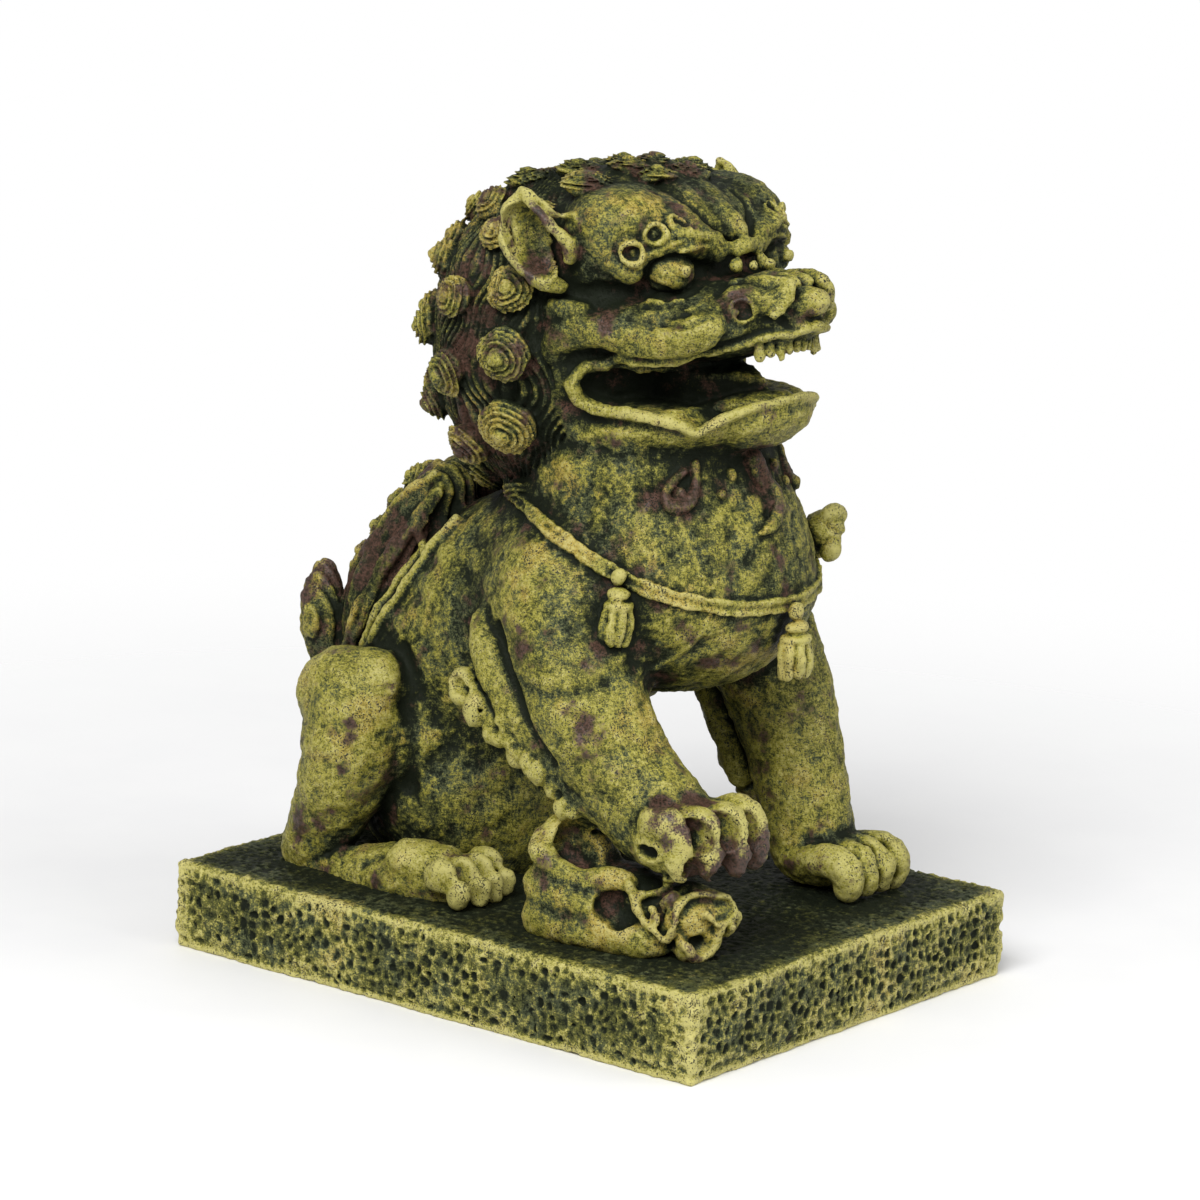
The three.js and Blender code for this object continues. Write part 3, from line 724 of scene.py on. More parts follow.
def sculpt_cub(clay):
    """The cub lies on its back under the right forepaw, head to the front"""
    body = egg((-26, -26, 20.5), (8.8, 13, 6.6)) + egg((-25.5, -18.5, 24), (6.4, 5.6, 7.6))
    body += limb([(-31.2, -15.6, 16), (-31.2, -15.8, 22), (-31.4, -15.8, 27.5)], [3.4, 3.2, 2.0])
    body += limb([(-33.4, -14.4, 28.6), (-33.2, -18.6, 26.4), (-32.6, -23.4, 25.0), (-31.8, -27.8, 26.2),
                  (-30.8, -31.6, 26.2)], [1.4, 1.3, 1.3, 1.3, 1.1])
    body += limb([(-32.4, -14.8, 23), (-32.2, -20, 21.6), (-31.8, -26, 20.6)], [2.7, 3.1, 3.2])
    body += limb([(-32.4, -14.6, 17.6), (-32.6, -22, 17.4), (-32.2, -30, 17.4), (-30.5, -37, 17.4)],
                 [2.8, 3.1, 3.0, 2.6])
    body += limb([(-31.2, -14.0, 29.8), (-28.6, -16.6, 32.4), (-27, -20, 33.4)], [1.7, 1.8, 1.5])
    clay.add("cub_body", body, soft=0.8, own=1.3)
    head = (egg((-25.0, -39.0, 20.6), (6.6, 6.0, 5.8)) + egg((-26.8, -41.6, 17.0), (3.8, 2.6, 3.2))
            + egg((-22.0, -42.2, 21.0), (3.8, 3.0, 4.0)))
    clay.add("cub_head", head, soft=0.8, own=0.9)
    for centre, radii in CUB_HOLLOWS:
        clay.carve(egg(centre, radii), soft=0.5)
    for ridge in CUB_RIDGES:
        raise_line(clay, clay.settle(along(ridge, 8 * len(ridge)), 0.45), 0.72)
        below = [(x + 1.0, y + 0.2, z - 1.5) for x, y, z in ridge]
        clay.crease(below, 0.9, 0.6)


# The mouth's outline seen from the side: distance from the middle plane's front, upper and lower lip
MOUTH_RUN = (-44.0, -41.0, -38.0, -36.0, -34.0, -31.8, -29.5, -27.6, -25.5, -23.0, -19.0, -14.0, -11.0, -9.4)
MOUTH_UPPER = (113.6, 112.6, 111.4, 110.4, 109.0, 107.8, 106.5,
               105.7, 105.0, 104.8, 105.0, 105.5, 104.8, 102.6)
MOUTH_LOWER = (104.2, 103.8, 103.0, 102.0, 100.7, 98.9, 97.0, 98.6, 100.2, 99.8, 99.9, 99.7, 100.3, 102.2)
MOUTH_CORNER = -9.6  # how far back the slot between the lips runs
TONGUE_ROOT = 8.5  # half width of the clay that blocks the mouth in the middle
UPPER_LIP = ((22.8, -9.6, 103.0), (22.2, -11.0, 105.6), (20.6, -14.4, 106.6), (19.5, -20.6, 106.0),
             (18.0, -24.5, 105.8), (16.0, -27.9, 106.6), (14.0, -29.3, 107.9), (12.0, -31.8, 109.0),
             (10.3, -34.4, 110.0), (9.0, -36.3, 111.4), (7.6, -38.5, 112.6), (5.0, -40.6, 113.4),
             (0, -42.2, 114.4))
LOWER_LIP = ((22.8, -9.6, 102.4), (21.8, -10.8, 99.8), (20.3, -14, 98.8), (19.8, -19.2, 99.0),
             (19.3, -23.2, 98.9), (18.3, -25.8, 98.4), (17.0, -27.8, 97.2), (15.2, -29.6, 95.9),
             (13.8, -32, 97.9), (11.3, -34.3, 99.8), (8.6, -36.4, 101.2), (5.0, -38.2, 102.2),
             (0, -39.4, 102.8))
JAW_CREASE = ((22.3, -8.0, 99.4), (20.8, -12.4, 97.4), (20.4, -18, 97.3), (19.8, -22.5, 97.0),
              (18.4, -25.8, 95.8), (16.6, -28.2, 94.8), (14.8, -29.9, 94.2), (12.8, -32.6, 96.0),
              (9.5, -36, 98.8), (6.2, -38.2, 100.2), (0, -39.8, 100.8))


def mouth_stroke():
    """The open mouth: a slot between the lips, blocked in the middle by the tongue's root"""

    def distance(x, y, z):
        upper = np.interp(y, MOUTH_RUN, MOUTH_UPPER).astype(np.float32)
        lower = np.interp(y, MOUTH_RUN, MOUTH_LOWER).astype(np.float32)
        slot = np.maximum(z - upper, lower - z) * 0.85
        core = TONGUE_ROOT * smooth_step(y, -33, -20)
        slot = np.maximum(slot, core - np.abs(x))
        return np.maximum(slot, y - MOUTH_CORNER)

    return [Stroke(np.array((-32, -46, 96)), np.array((32, -8, 114)), distance)]


def sculpt_head(clay):
    head = (egg((0, -4, 117), (22.3, 19.6, 19.3)) + egg((0, -14, 112.8), (21.4, 24, 7.8), (-6, 0, 0))
            + egg((0, -29.5, 112.8), (9, 11, 4.4), (-8, 0, 0)) + egg((0, -4, 104), (23.4, 17.8, 18.6)))
    for side in (RIGHT, LEFT):
        head += limb(on(side, (22.6, -6, 109.5), (22.2, -9, 111.6), (20.8, -14.5, 112.2),
                        (19.2, -20.5, 110.9), (17.4, -26.6, 112.0), (15.2, -31, 114.0)), [2.4, 2.5, 2.4, 2.4, 2.5, 2.3])
        head += egg(mirrored(side, (22.4, -5, 108.2)), (2.2, 3.0, 3.4))
        head += limb(on(side, (22.0, -5.5, 115), (21.6, -10, 114.6)), [2.2, 2.0])
    clay.add("head", head, soft=1.5, own=1.3)
    jaw = (egg((0, -13.6, 95.6), (20.8, 22.6, 8.2), (-14, 0, 0))
           + egg((0, -31, 98.4), (10.2, 6.8, 5.2), (-20, 0, 0)))
    clay.add("lower_jaw", jaw, soft=2.6, own=1.5)
    lips = [clay.settle(along(both(path)[k], 60), 0.2) for path in (UPPER_LIP, LOWER_LIP) for k in (0, 1)]
    clay.carve(mouth_stroke(), soft=0.8)
    clay.add("tongue", egg((0, -25, 99.0), (8.0, 11, 2.2), (-16, 0, 0)), soft=0.8)
    for lip, width in zip(lips, (0.95, 0.95, 1.2, 1.2)):
        raise_line(clay, lip, width)
    for points in both(JAW_CREASE):
        clay.crease(points, 1.3, 0.75, count=60)
    for points in both([(x + 0.4, y, z + 2.2) for x, y, z in UPPER_LIP[3:-1]]):
        clay.crease(points, 1.0, 0.6, count=50)
    for points in both([(18.6, -24.8, 112.8), (17.4, -28.4, 113.2), (15.6, -31.2, 114.8)]):
        clay.crease(points, 0.7, 0.5)
    sculpt_nose(clay)
    for side in (RIGHT, LEFT):
        sculpt_eye(clay, side)
        sculpt_ear(clay, side)
    sculpt_forehead(clay)
    teeth = []
    for k in range(-5, 6):
        x = 1.5 * k
        y = -38.4 + 0.05 * x * x
        top = 112.6 - 0.018 * x * x
        teeth += limb([(x, y + 0.6, top), (x, y, top - 2.3 - 0.8 * (abs(k) == 3))], [0.85, 0.66])
    clay.add("upper_teeth", teeth, soft=0.2, own=0.1)


def raise_line(clay, places, width):
    """Raises a round line through points that already lie on the surface"""
    found = clay.window(places.min(axis=0), places.max(axis=0), LINE_REACH * width)
    if found is None:
        return
    cut, _ = found
    nearest = clay.measure_line(cut, places, LINE_REACH * width)
    clay.field[cut] = smooth_min(clay.field[cut], nearest - width, min(0.7, 0.8 * width))


def swirl(clay, centre, outward, radius, width=0.5):
    """Raises a small ring with a knob in it, over a pressed dish"""
    axes = frame_on(outward)
    clay.dent(centre, 0.75 * radius, 0.9)
    angles = np.linspace(0, 2 * math.pi, 17)
    middle = np.array(centre)
    points = [middle + radius * (axes[:, 0] * math.cos(angle) + axes[:, 1] * math.sin(angle))
              for angle in angles]
    raise_line(clay, clay.settle(points, 0.4), width)
    outer = [middle + 1.5 * (point - middle) for point in points]
    clay.crease(outer, 0.6, 0.4, count=40)
    knob = clay.settle([centre], 0.3)
    raise_line(clay, np.vstack([knob, knob + 0.01]), 0.32 * radius)


def sculpt_nose(clay):
    nose = (egg((0, -30.8, 118.0), (5.4, 7.6, 2.6), (-8, 0, 0)) + egg((0, -35.6, 116.4), (6.4, 4.6, 3.0))
            + limb([(0, -36.5, 117.6), (0, -40.6, 118.0)], [2.6, 2.0]))
    for side in (RIGHT, LEFT):
        # Each wing is a wedge with a flat top that ends in a sharp upright edge
        nose += limb(on(side, (6.4, -28.6, 119.0), (5.4, -34.0, 120.4), (4.2, -38.4, 121.0)),
                     [1.7, 1.5, 0.75])
        nose += limb(on(side, (4.2, -38.4, 121.0), (5.6, -38.6, 118.8), (7.4, -37.8, 116.0)),
                     [0.75, 0.8, 0.8])
        nose += limb(on(side, (2.6, -29.6, 119.8), (1.8, -34.4, 120.6), (1.6, -37.6, 120.8)), [1.7, 1.4, 0.7])
        nose += limb(on(side, (8.0, -31.6, 117.8), (6.0, -36.4, 118.0)), [2.7, 2.0])
        nose += egg(mirrored(side, (5.2, -35.6, 118.8)), (1.8, 3.4, 2.2))
        nose += egg(mirrored(side, (9.2, -31.4, 116.9)), (3.0, 3.2, 3.2))
    clay.add("nose", nose, soft=0.5, own=0.8)
    for side in (RIGHT, LEFT):
        clay.dent(mirrored(side, (11.2, -34.0, 116.9)), 1.7, 1.7)
        swirl(clay, mirrored(side, (11.0, -33.8, 116.9)), (side, -0.55, 0.1), 1.9, width=0.45)
        clay.carve(egg(mirrored(side, (4.6, -40.2, 116.4)), (1.9, 2.0, 1.5)), soft=0.5)
        clay.crease(on(side, (10.4, -28.6, 118.0), (9.4, -29.4, 119.8), (7.0, -30.6, 120.8)),
                    0.8, 0.5)
        clay.crease(on(side, (5.0, -40.8, 115.2), (7.4, -38.6, 115.0), (9.6, -36.0, 114.6)),
                    1.0, 0.6)
    clay.crease([(-6, -24.4, 120.5), (0, -24.6, 122.6), (6, -24.4, 120.5)], 0.9, 0.9)


def sculpt_eye(clay, side):
    name = SIDE_NAME[side]
    brow = (egg(mirrored(side, (13.6, -11.5, 128)), (9.2, 9.8, 6.6))
            + egg(mirrored(side, (18.2, -10.5, 124.6)), (4.6, 8.0, 5.2))
            + egg(mirrored(side, (10.2, -17.4, 126.8)), (7.8, 4.8, 4.0))
            + egg(mirrored(side, (6.0, -14.0, 129.0)), (6.5, 7.5, 4.0)))
    brow += limb(on(side, (19.0, -16.8, 122.2), (14.6, -20.2, 125.4), (9.6, -21.8, 126.6),
                    (5.8, -23.2, 124.4)),
                 [1.9, 1.8, 1.7, 0.7])
    clay.add(f"brow_{name}", brow, soft=2.6, own=2.2)
    for place, radius in (((19.8, -18.4, 125.2), 2.1), ((17.2, -20.8, 128.2), 1.8),
                          ((12.8, -22.2, 129.6), 1.9)):
        swirl(clay, mirrored(side, place), mirrored(side, (0.9, -1, 0.35)), radius)
    for path in (((19.4, -19.8, 122.8), (16.4, -21.6, 124.4), (12.6, -23.0, 125.9), (8.6, -23.6, 126.0),
                  (5.6, -23.6, 124.2)),
                 ((18.0, -20.6, 125.0), (14.8, -22.4, 126.4), (11.0, -23.4, 127.2), (7.2, -23.6, 126.2)),
                 ((15.8, -21.8, 127.2), (13.2, -22.8, 128.0), (10.0, -23.2, 127.8)),
                 ((12.4, -23.0, 127.8), (9.0, -23.2, 127.0), (6.2, -23.4, 126.0), (3.6, -24.8, 125.6))):
        raise_line(clay, clay.settle(along(on(side, *path), 30), 0.1), 0.45)
    # Hollow of the eye, then the eye and its lids
    clay.carve(egg(mirrored(side, (14.8, -22.4, 121.6)), (5.0, 3.2, 3.2), (0, 0, 20 * side)), soft=1.0)
    clay.crease(on(side, (22.6, -6, 117.6), (21.4, -11.5, 118.0), (18.8, -16.2, 118.2),
                   (16.5, -19, 118.8)), 1.7, 1.3)
    for points, width in (
            (on(side, (18.0, -20.4, 118.2), (17.4, -23.2, 117.6), (15.4, -25.4, 117.9)), 0.5),
            (on(side, (19.4, -21.4, 116.6), (18.6, -25.2, 116.1), (15.8, -28.0, 117.2)), 0.42)):
        raise_line(clay, clay.settle(along(points, 30), 0.1), width)
    eye = egg(mirrored(side, (13.0, -20.9, 121.6)), (4.2, 3.6, 3.3)) + egg(
        mirrored(side, (13.8, -24.2, 122.4)), (1.4, 1.3, 1.3))
    clay.add(f"eye_{name}", eye, soft=0.3, own=0.6)
    clay.crease(on(side, (18.9, -20.4, 116.9), (18.9, -24.6, 115.8), (17, -27.9, 116.2)), 0.7, 0.45)
    pupil = [(13.8 + 1.7 * math.cos(k * math.pi / 5), -24.6, 122.4 + 1.7 * math.sin(k * math.pi / 5))
             for k in range(11)]
    clay.crease(on(side, *pupil), 0.7, 0.4, count=40)
    clay.crease(on(side, (17.2, -20.0, 119.6), (15.8, -23.6, 118.9), (13.2, -25.2, 119.0),
                   (10.6, -25.0, 120.0)), 0.9, 0.5)
    clay.add(f"bead_{name}", egg(mirrored(side, (3.6, -27.2, 122.3)), (1.15, 1.15, 1.15))
             + egg(mirrored(side, (2.2, -29.4, 122.6)), (0.8, 0.8, 0.8)), soft=0.2, own=0.1)


LEFT_EAR_RISE = 0.6  # the left ear stands a little higher than the right one


def sculpt_ear(clay, side):
    name = SIDE_NAME[side]
    rise = LEFT_EAR_RISE if side == LEFT else 0.0
    ear = egg(mirrored(side, (25.2, -3.0, 126.0 + 0.6 * rise)), (3.0, 4.2, 7.8), (-31, 0, 12 * side))
    ear += limb(on(side, (26.4, -0.6, 133.4 + rise), (28.2, 0.4, 130 + rise), (28.8, 0.2, 126),
                   (28.2, -2, 122.4), (26.4, -5.2, 119.8), (23.5, -7.4, 118.6)), [0.7, 0.9, 1.0, 1.0, 1.1, 1.0])
    ear += limb(on(side, (26.4, -0.6, 133.8 + rise), (27.1, -4.2, 130.8 + rise), (25.9, -7.2, 128),
                   (24.0, -9.2, 125.4), (23.8, -8.8, 123.4)), [0.5, 0.7, 0.85, 0.95, 0.8])
    clay.add(f"ear_{name}", ear, soft=0.8, own=0.8)
    clay.carve(egg(mirrored(side, (28.2, -4.0, 125.8)), (6.2, 3.3, 6.8), (-35, 0, 12 * side)), soft=0.4)
    for k in range(4):
        clay.crease(on(side, (27 - 0.6 * k, -1.5 - k, 133.6),
                       (24.5 - 0.4 * k, -3.5 - 1.2 * k, 132.8 - 0.5 * k),
                       (22.5, -6 - 1.2 * k, 131.5 - 0.8 * k)), -0.8, 0.42)


def sculpt_forehead(clay):
    plate = (egg((0, -17.0, 130.6), (6.2, 8.2, 2.6), (28, 0, 0))
             + limb([(0, -20, 129.6), (0, -24.8, 127.8)], [2.6, 1.5]))
    rim = [(7.9, -20.6, 129.0), (7.6, -22.2, 127.4), (6.0, -23.8, 126.0), (3.4, -25.4, 125.4),
           (0, -26.4, 125.6)]
    plate += limb(rim + [mirrored(RIGHT, p) for p in reversed(rim[:-1])], [0.9] * 9, count=40)
    clay.add("forehead_plate", plate, soft=2.4, own=0.8)
    for points in both([(7.0, -17.5, 132.0), (6.2, -21.2, 129.6), (4.6, -23.6, 127.8), (2.0, -25.2, 127.0)]):
        clay.crease(points, 0.8, 0.5)


# Snail curls of the mane, on both sides: degrees round from the back, height and radius
MANE_CURLS = (
    (103, 117, 3.9), (103, 107, 4.3), (103, 95.6, 4.7), (101, 83.5, 4.5),
    (45, 119, 3.2), (45, 108, 3.4), (45, 96, 3.5), (45, 84, 3.4), (62, 128.5, 3.1),
)
EXTRA_CURLS = (
    (74, 114.5, 3.5), (74, 102.5, 3.8), (74, 91, 3.9), (73, 79.5, 3.6), (86, 124.8, 3.1),
    (15, 116, 3.2), (15, 104, 3.4), (15, 92, 3.4), (15, 81, 3.2), (22, 126, 3.1),
    (30, 121.5, 2.9), (30, 110, 3.1), (30, 98, 3.2), (30, 86.5, 3.1),
)
# Curls on the crown: centre and radius
CROWN_CURLS = (((14, -4, 134), 3.6), ((9, 12, 132.6), 3.2), ((6, 4, 134.6), 3.4))
EXTRA_CROWN_CURLS = (((3.6, -4.5, 136.0), 3.0), ((4.4, -11, 135.4), 2.7), ((19.5, 1.5, 129.6), 2.6))
MANE_CENTRE = (0, 6.5, 107)
MANE_RADII = (27, 23, 28)


def on_mane(turn, height):
    """A point of the mane's surface, and the direction straight out of it"""
    lift = (height - MANE_CENTRE[2]) / MANE_RADII[2]
    out = math.sqrt(max(0, 1 - lift * lift))
    turn = math.radians(turn)
    unit = (math.sin(turn) * out, math.cos(turn) * out, lift)
    centre = [c + r * u for c, r, u in zip(MANE_CENTRE, MANE_RADII, unit)]
    return np.array(centre), np.array([u / r for u, r in zip(unit, MANE_RADII)])


def ring_curl(side, turn, height, radius):
    centre, outward = on_mane(side * turn, height)
    outward /= np.linalg.norm(outward)
    outward[2] -= 0.1
    return curl(centre + 0.3 * radius * outward, outward, 1.1 * radius, turn=0.13 * height, hand=side)


def crown_curl(side, place, radius):
    centre = mirrored(side, place)
    outward = Vector((centre[0], centre[1], 3 * (centre[2] - MANE_CENTRE[2]))).normalized()
    return curl(centre, outward, 1.3 * radius, hand=side, tall=0.46)


def hair_wave(x, y, z):
    """Strands of hair that flow down the mane with a slight wave"""
    turn = np.arctan2(x, y - MANE_CENTRE[1])
    strand = 27 * turn + 1.8 * np.sin(z / 4.2 + 5 * turn) + 0.8 * np.sin(z / 1.9 - 9 * turn)
    ridge = np.abs(np.sin(math.pi * strand / 1.7))
    return 0.9 * (1 - ridge) * (0.65 + 0.35 * np.sin(z / 3.1 + 7 * turn)) - 0.3 * ridge


def sculpt_mane(clay):
    clay.add("mane", egg(MANE_CENTRE, MANE_RADII), soft=0.8)
    clay.comb("mane", hair_wave)
    for name, rings, crowns in (("mane_curl", MANE_CURLS, CROWN_CURLS),
                                ("mane_curl_small", EXTRA_CURLS, EXTRA_CROWN_CURLS)):
        shapes = [ring_curl(side, *place) for place in rings for side in (RIGHT, LEFT)]
        shapes += [crown_curl(side, *place) for place in crowns for side in (RIGHT, LEFT)]
        for number, shape in enumerate(shapes, 1):
            clay.add(f"{name}_{number:02d}", shape, soft=0.7)


# The ribbon's path on the right side, from the back of the neck to the middle of the chest
RIBBON_PATH = ((-6, 12, 84), (-14, 7, 82.5), (-18.6, 1.5, 80.5), (-22.6, -4, 79.7), (-25.1, -10.1, 78.4),
               (-24.6, -17.6, 75.1), (-22.4, -24.3, 72.3), (-18.8, -29.8, 70.4), (-13.2, -34.2, 69.0),
               (-6.2, -36.8, 68.4), (0, -37.6, 68.2))
RIBBON_HALF = 1.25  # half of the band's width
RIBBON_THICK = 0.85
RIBBON_GROOVE = 0.35
RIBBON_PAD = 4.0  # clay taken in round the path


def sculpt_ribbon(clay):
    """A flat band laid round the neck, shoulders and chest, with a groove along its middle"""
    far_side = [mirrored(RIGHT, point) for point in reversed(RIBBON_PATH[:-1])]
    places = clay.settle(along(RIBBON_PATH + tuple(far_side), 110))
    low, high = places.min(axis=0), places.max(axis=0)
    cut, _ = clay.window(low, high, RIBBON_PAD)
    skin = clay.field[cut].copy()
    aside = np.sqrt(np.maximum(clay.measure_line(cut, places, 3.0) ** 2 - skin ** 2, 0))

    def distance(x, y, z):
        groove = RIBBON_GROOVE * np.exp(-(aside / 0.45) ** 2)
        return np.maximum(skin - RIBBON_THICK + groove, aside - RIBBON_HALF)

    clay.add("ribbon", [Stroke(low, high, distance)], soft=0.3, pad=RIBBON_PAD)


def tassel(top, lean, size=1.0):
    """A bead, a cap and a barrel of strands with dark slots between them"""
    x, y, z = top
    strokes = egg((x, y, z), (1.3, 1.2, 1.5))
    strokes += egg((x + 0.2 * lean, y - 0.3, z - 2.6), (2.1 * size, 1.9, 1.2))
    strokes += egg((x + 0.3 * lean, y - 0.3, z - 4.4), (2.7 * size, 2.4, 1.0))
    strokes += egg((x + 0.5 * lean, y - 0.1, z - 7.6), (2.1 * size, 1.9, 3.4))
    count = 8
    for k in range(count):
        angle = 2 * math.pi * (k + 0.5) / count
        u, v = math.cos(angle), math.sin(angle)
        strokes += limb([(x + 0.4 * lean + 2.1 * size * u, y - 0.2 + 1.8 * v, z - 5.2),
                         (x + 0.6 * lean + 2.5 * size * u, y - 0.2 + 2.1 * v, z - 7.8),
                         (x + 0.7 * lean + 1.9 * size * u, y + 1.6 * v, z - 10.4)], [0.6, 0.72, 0.7])
    return strokes


def sculpt_trimmings(clay):
    clay.add("tassel_right", tassel((-24.6, -22, 73.5), -1), soft=0.25, own=0.3)
    clay.add("tassel_centre", tassel((0.6, -39, 67), 0.4, 1.15), soft=0.25, own=0.3)
    knot = (egg((22.5, -28.5, 76), (3.6, 3.4, 3.4)) + egg((24.5, -26, 73), (2.6, 2.6, 2.6))
            + limb([(21, -30, 79), (24.5, -29.5, 78.5), (25.8, -27.5, 75.5), (24, -27, 72)],
                   [1.3, 1.5, 1.5, 1.2])
            + egg((21.5, -30.5, 73), (1.8, 1.8, 2.2)))
    clay.add("knot_left", knot, soft=0.3, own=0.4)
    clay.crease([(20, -31.5, 77.5), (23, -31.2, 76), (25.5, -29, 74)], 0.8, 0.5)
    for side in (RIGHT, LEFT):
        path = on(side, (11.2, -26, 91.0), (11.4, -26, 88), (11.8, -26, 85.8), (13.2, -26, 83.8),
                  (15.0, -25, 83.6), (15.8, -24, 85.4), (14.8, -24, 87.6), (12.8, -25, 89.6))
        beard = limb(clay.settle(path, 0.3), [0.7, 0.8, 0.95, 1.1, 1.1, 1.0, 0.8, 0.6], count=30)
        beard += egg(clay.settle(on(side, (13.6, -25, 85.8)), 0.2)[0], (1.1, 1.1, 1.3))
        clay.add(f"beard_curl_{SIDE_NAME[side]}", beard, soft=0.25, own=0.15)
        high, low = clay.settle(on(side, (5.6, -29, 89.0), (8.2, -29, 85.6)), 0.2)
        clay.add(f"chin_bead_{SIDE_NAME[side]}", egg(high, (1.0, 1.0, 1.1)) + egg(low, (0.9, 0.8, 0.9)),
                 soft=0.3, own=0.1)
        clay.crease(on(side, (13.6, -24, 82.6), (15.0, -28.1, 78.6), (15.0, -31.3, 73.6)), -0.45, 0.35)
        clay.crease(on(side, (14.6, -33.1, 67.9), (15.6, -31, 63.4), (16.9, -26.1, 59.2),
                       (22, -24.5, 56)), -0.45, 0.35)
    path = clay.settle([(-0.6, -30, 91), (0.6, -31, 87.5), (1.6, -32, 84.8), (0.6, -33, 82),
                        (-2.4, -34, 80.2),
                        (-4.6, -34, 79.6)], 0.3)
    tuft = limb(path, [1.9, 1.7, 1.6, 1.4, 0.9, 0.4])
    clay.add("beard_tuft", tuft, soft=0.3, own=0.4)
    clay.crease([(-1.2, -31.5, 90.5), (0.2, -32.5, 87), (1.0, -33.5, 84), (-0.4, -34.5, 81.6)], 0.9, 0.45)


CLAY = {}
SCULPTORS = (sculpt_torso, sculpt_hind_legs, sculpt_forelegs, sculpt_ribbon, sculpt_cub, sculpt_head,
             sculpt_mane, sculpt_trimmings)


def sculpture():
    """The whole lion as one block of clay, sculpted once and shared by all the pieces"""
    if "lion" not in CLAY:
        step = sizes().detail / UNIT
        clay = Clay((-40, -56, TOP - 2), (40, 62, 144), step)
        for sculpt in SCULPTORS:
            sculpt(clay)
        clay.roughen(0.13, 4.5, seed=7)
        clay.roughen(0.07, 1.6, seed=8)
        clay.weigh()
        CLAY["lion"] = clay
    return CLAY["lion"]


# ---------------------------------------------------------------------------
# The plinth

PLINTH_HALF = tuple((high - low) / 2 / UNIT for low, high in zip(PLINTH_LOW, PLINTH_HIGH))
RIM_HEIGHT = 2.0
RIM_INSET = 0.4
PLINTH_STEP = 0.41  # between points of the plinth's surface
SIDE_PIT_DEPTH = 0.85
TOP_PIT_DEPTH = 0.5
TOP_PIT_SPACING = 0.62  # of the spacing on the sides


def block(centre, half, rounding):
    """A box with rounded edges"""
    centre = np.array(centre, np.float32)
    half = np.array(half, np.float32)

    def distance(x, y, z):
        parts = [np.abs(value - c) - h + rounding for value, c, h in zip((x, y, z), centre, half)]
        outside = np.sqrt(sum(np.maximum(part, 0) ** 2 for part in parts))
        return outside + np.minimum(np.maximum(np.maximum(parts[0], parts[1]), parts[2]), 0) - rounding

    return [Stroke(centre - half, centre + half, distance)]


def pitted(clay, spacing, depth, seed, wanted):
    """Hammers uneven round pits into the surface where wanted(x, y, z) says so, from 0 to 1"""
    chance = np.random.RandomState(seed)
    size = 32
    jitter = chance.uniform(0.1, 0.9, (size, size, size, 3)).astype(np.float32)
    near = np.nonzero(np.abs(clay.field) < 1.1)
    place = np.stack([axis[index] for axis, index in zip(clay.axes, near)], axis=1)
    scaled = place / spacing
    cell = np.floor(scaled).astype(int)
    first = np.full(len(scaled), FAR, np.float32)
    second = first.copy()
    strength = np.zeros(len(scaled), np.float32)
    for corner in np.ndindex(3, 3, 3):
        other = cell + np.array(corner) - 1
        index = tuple((other % size).T)
        far = np.sqrt(((other + jitter[index] - scaled) ** 2).sum(axis=1))
        closer = far < first
        second = np.where(closer, first, np.minimum(second, far))
        strength = np.where(closer, jitter[index][:, 0], strength)
        first = np.where(closer, far, first)
    # Each pit has a crisp ridge between it and the next
    pit = smooth_step(second - first, 0.04, 0.42) * (0.35 + 0.65 * strength)
    clay.field[near] += (depth * pit * wanted(*place.T)).astype(np.float32)


def plinth_clay():
    """The hammered plinth as a block of clay of its own"""
    if "plinth" not in CLAY:
        step = PLINTH_STEP
        half_x, half_y, half_z = PLINTH_HALF
        clay = Clay((-half_x - 2, -half_y - 2, -1.5), (half_x + 2, half_y + 2, TOP + 2), step)
        slab = block((0, 0, (TOP + RIM_HEIGHT) / 2), (half_x, half_y, (TOP - RIM_HEIGHT) / 2), 1.0)
        rim = block((0, 0, RIM_HEIGHT / 2 + 0.6),
                    (half_x - RIM_INSET, half_y - RIM_INSET, RIM_HEIGHT / 2 + 0.6), 0.5)
        clay.add("plinth", slab + rim, soft=0, own=0.6)
        spacing = sizes().dimple / UNIT

        def on_sides(x, y, z):
            return smooth_step(TOP - z, 0.4, 1.6) * smooth_step(z, 0.3, 1.5)

        def on_top(x, y, z):
            return smooth_step(z, TOP - 1.6, TOP - 0.6)

        clay.roughen(0.07, 9.0, seed=3)
        pitted(clay, spacing, SIDE_PIT_DEPTH, 5, on_sides)
        pitted(clay, TOP_PIT_SPACING * spacing, TOP_PIT_DEPTH, 6, on_top)
        clay.roughen(0.07, 1.7, seed=4)
        clay.weigh()
        CLAY["plinth"] = clay
    return CLAY["plinth"]


# ---------------------------------------------------------------------------
# Paint

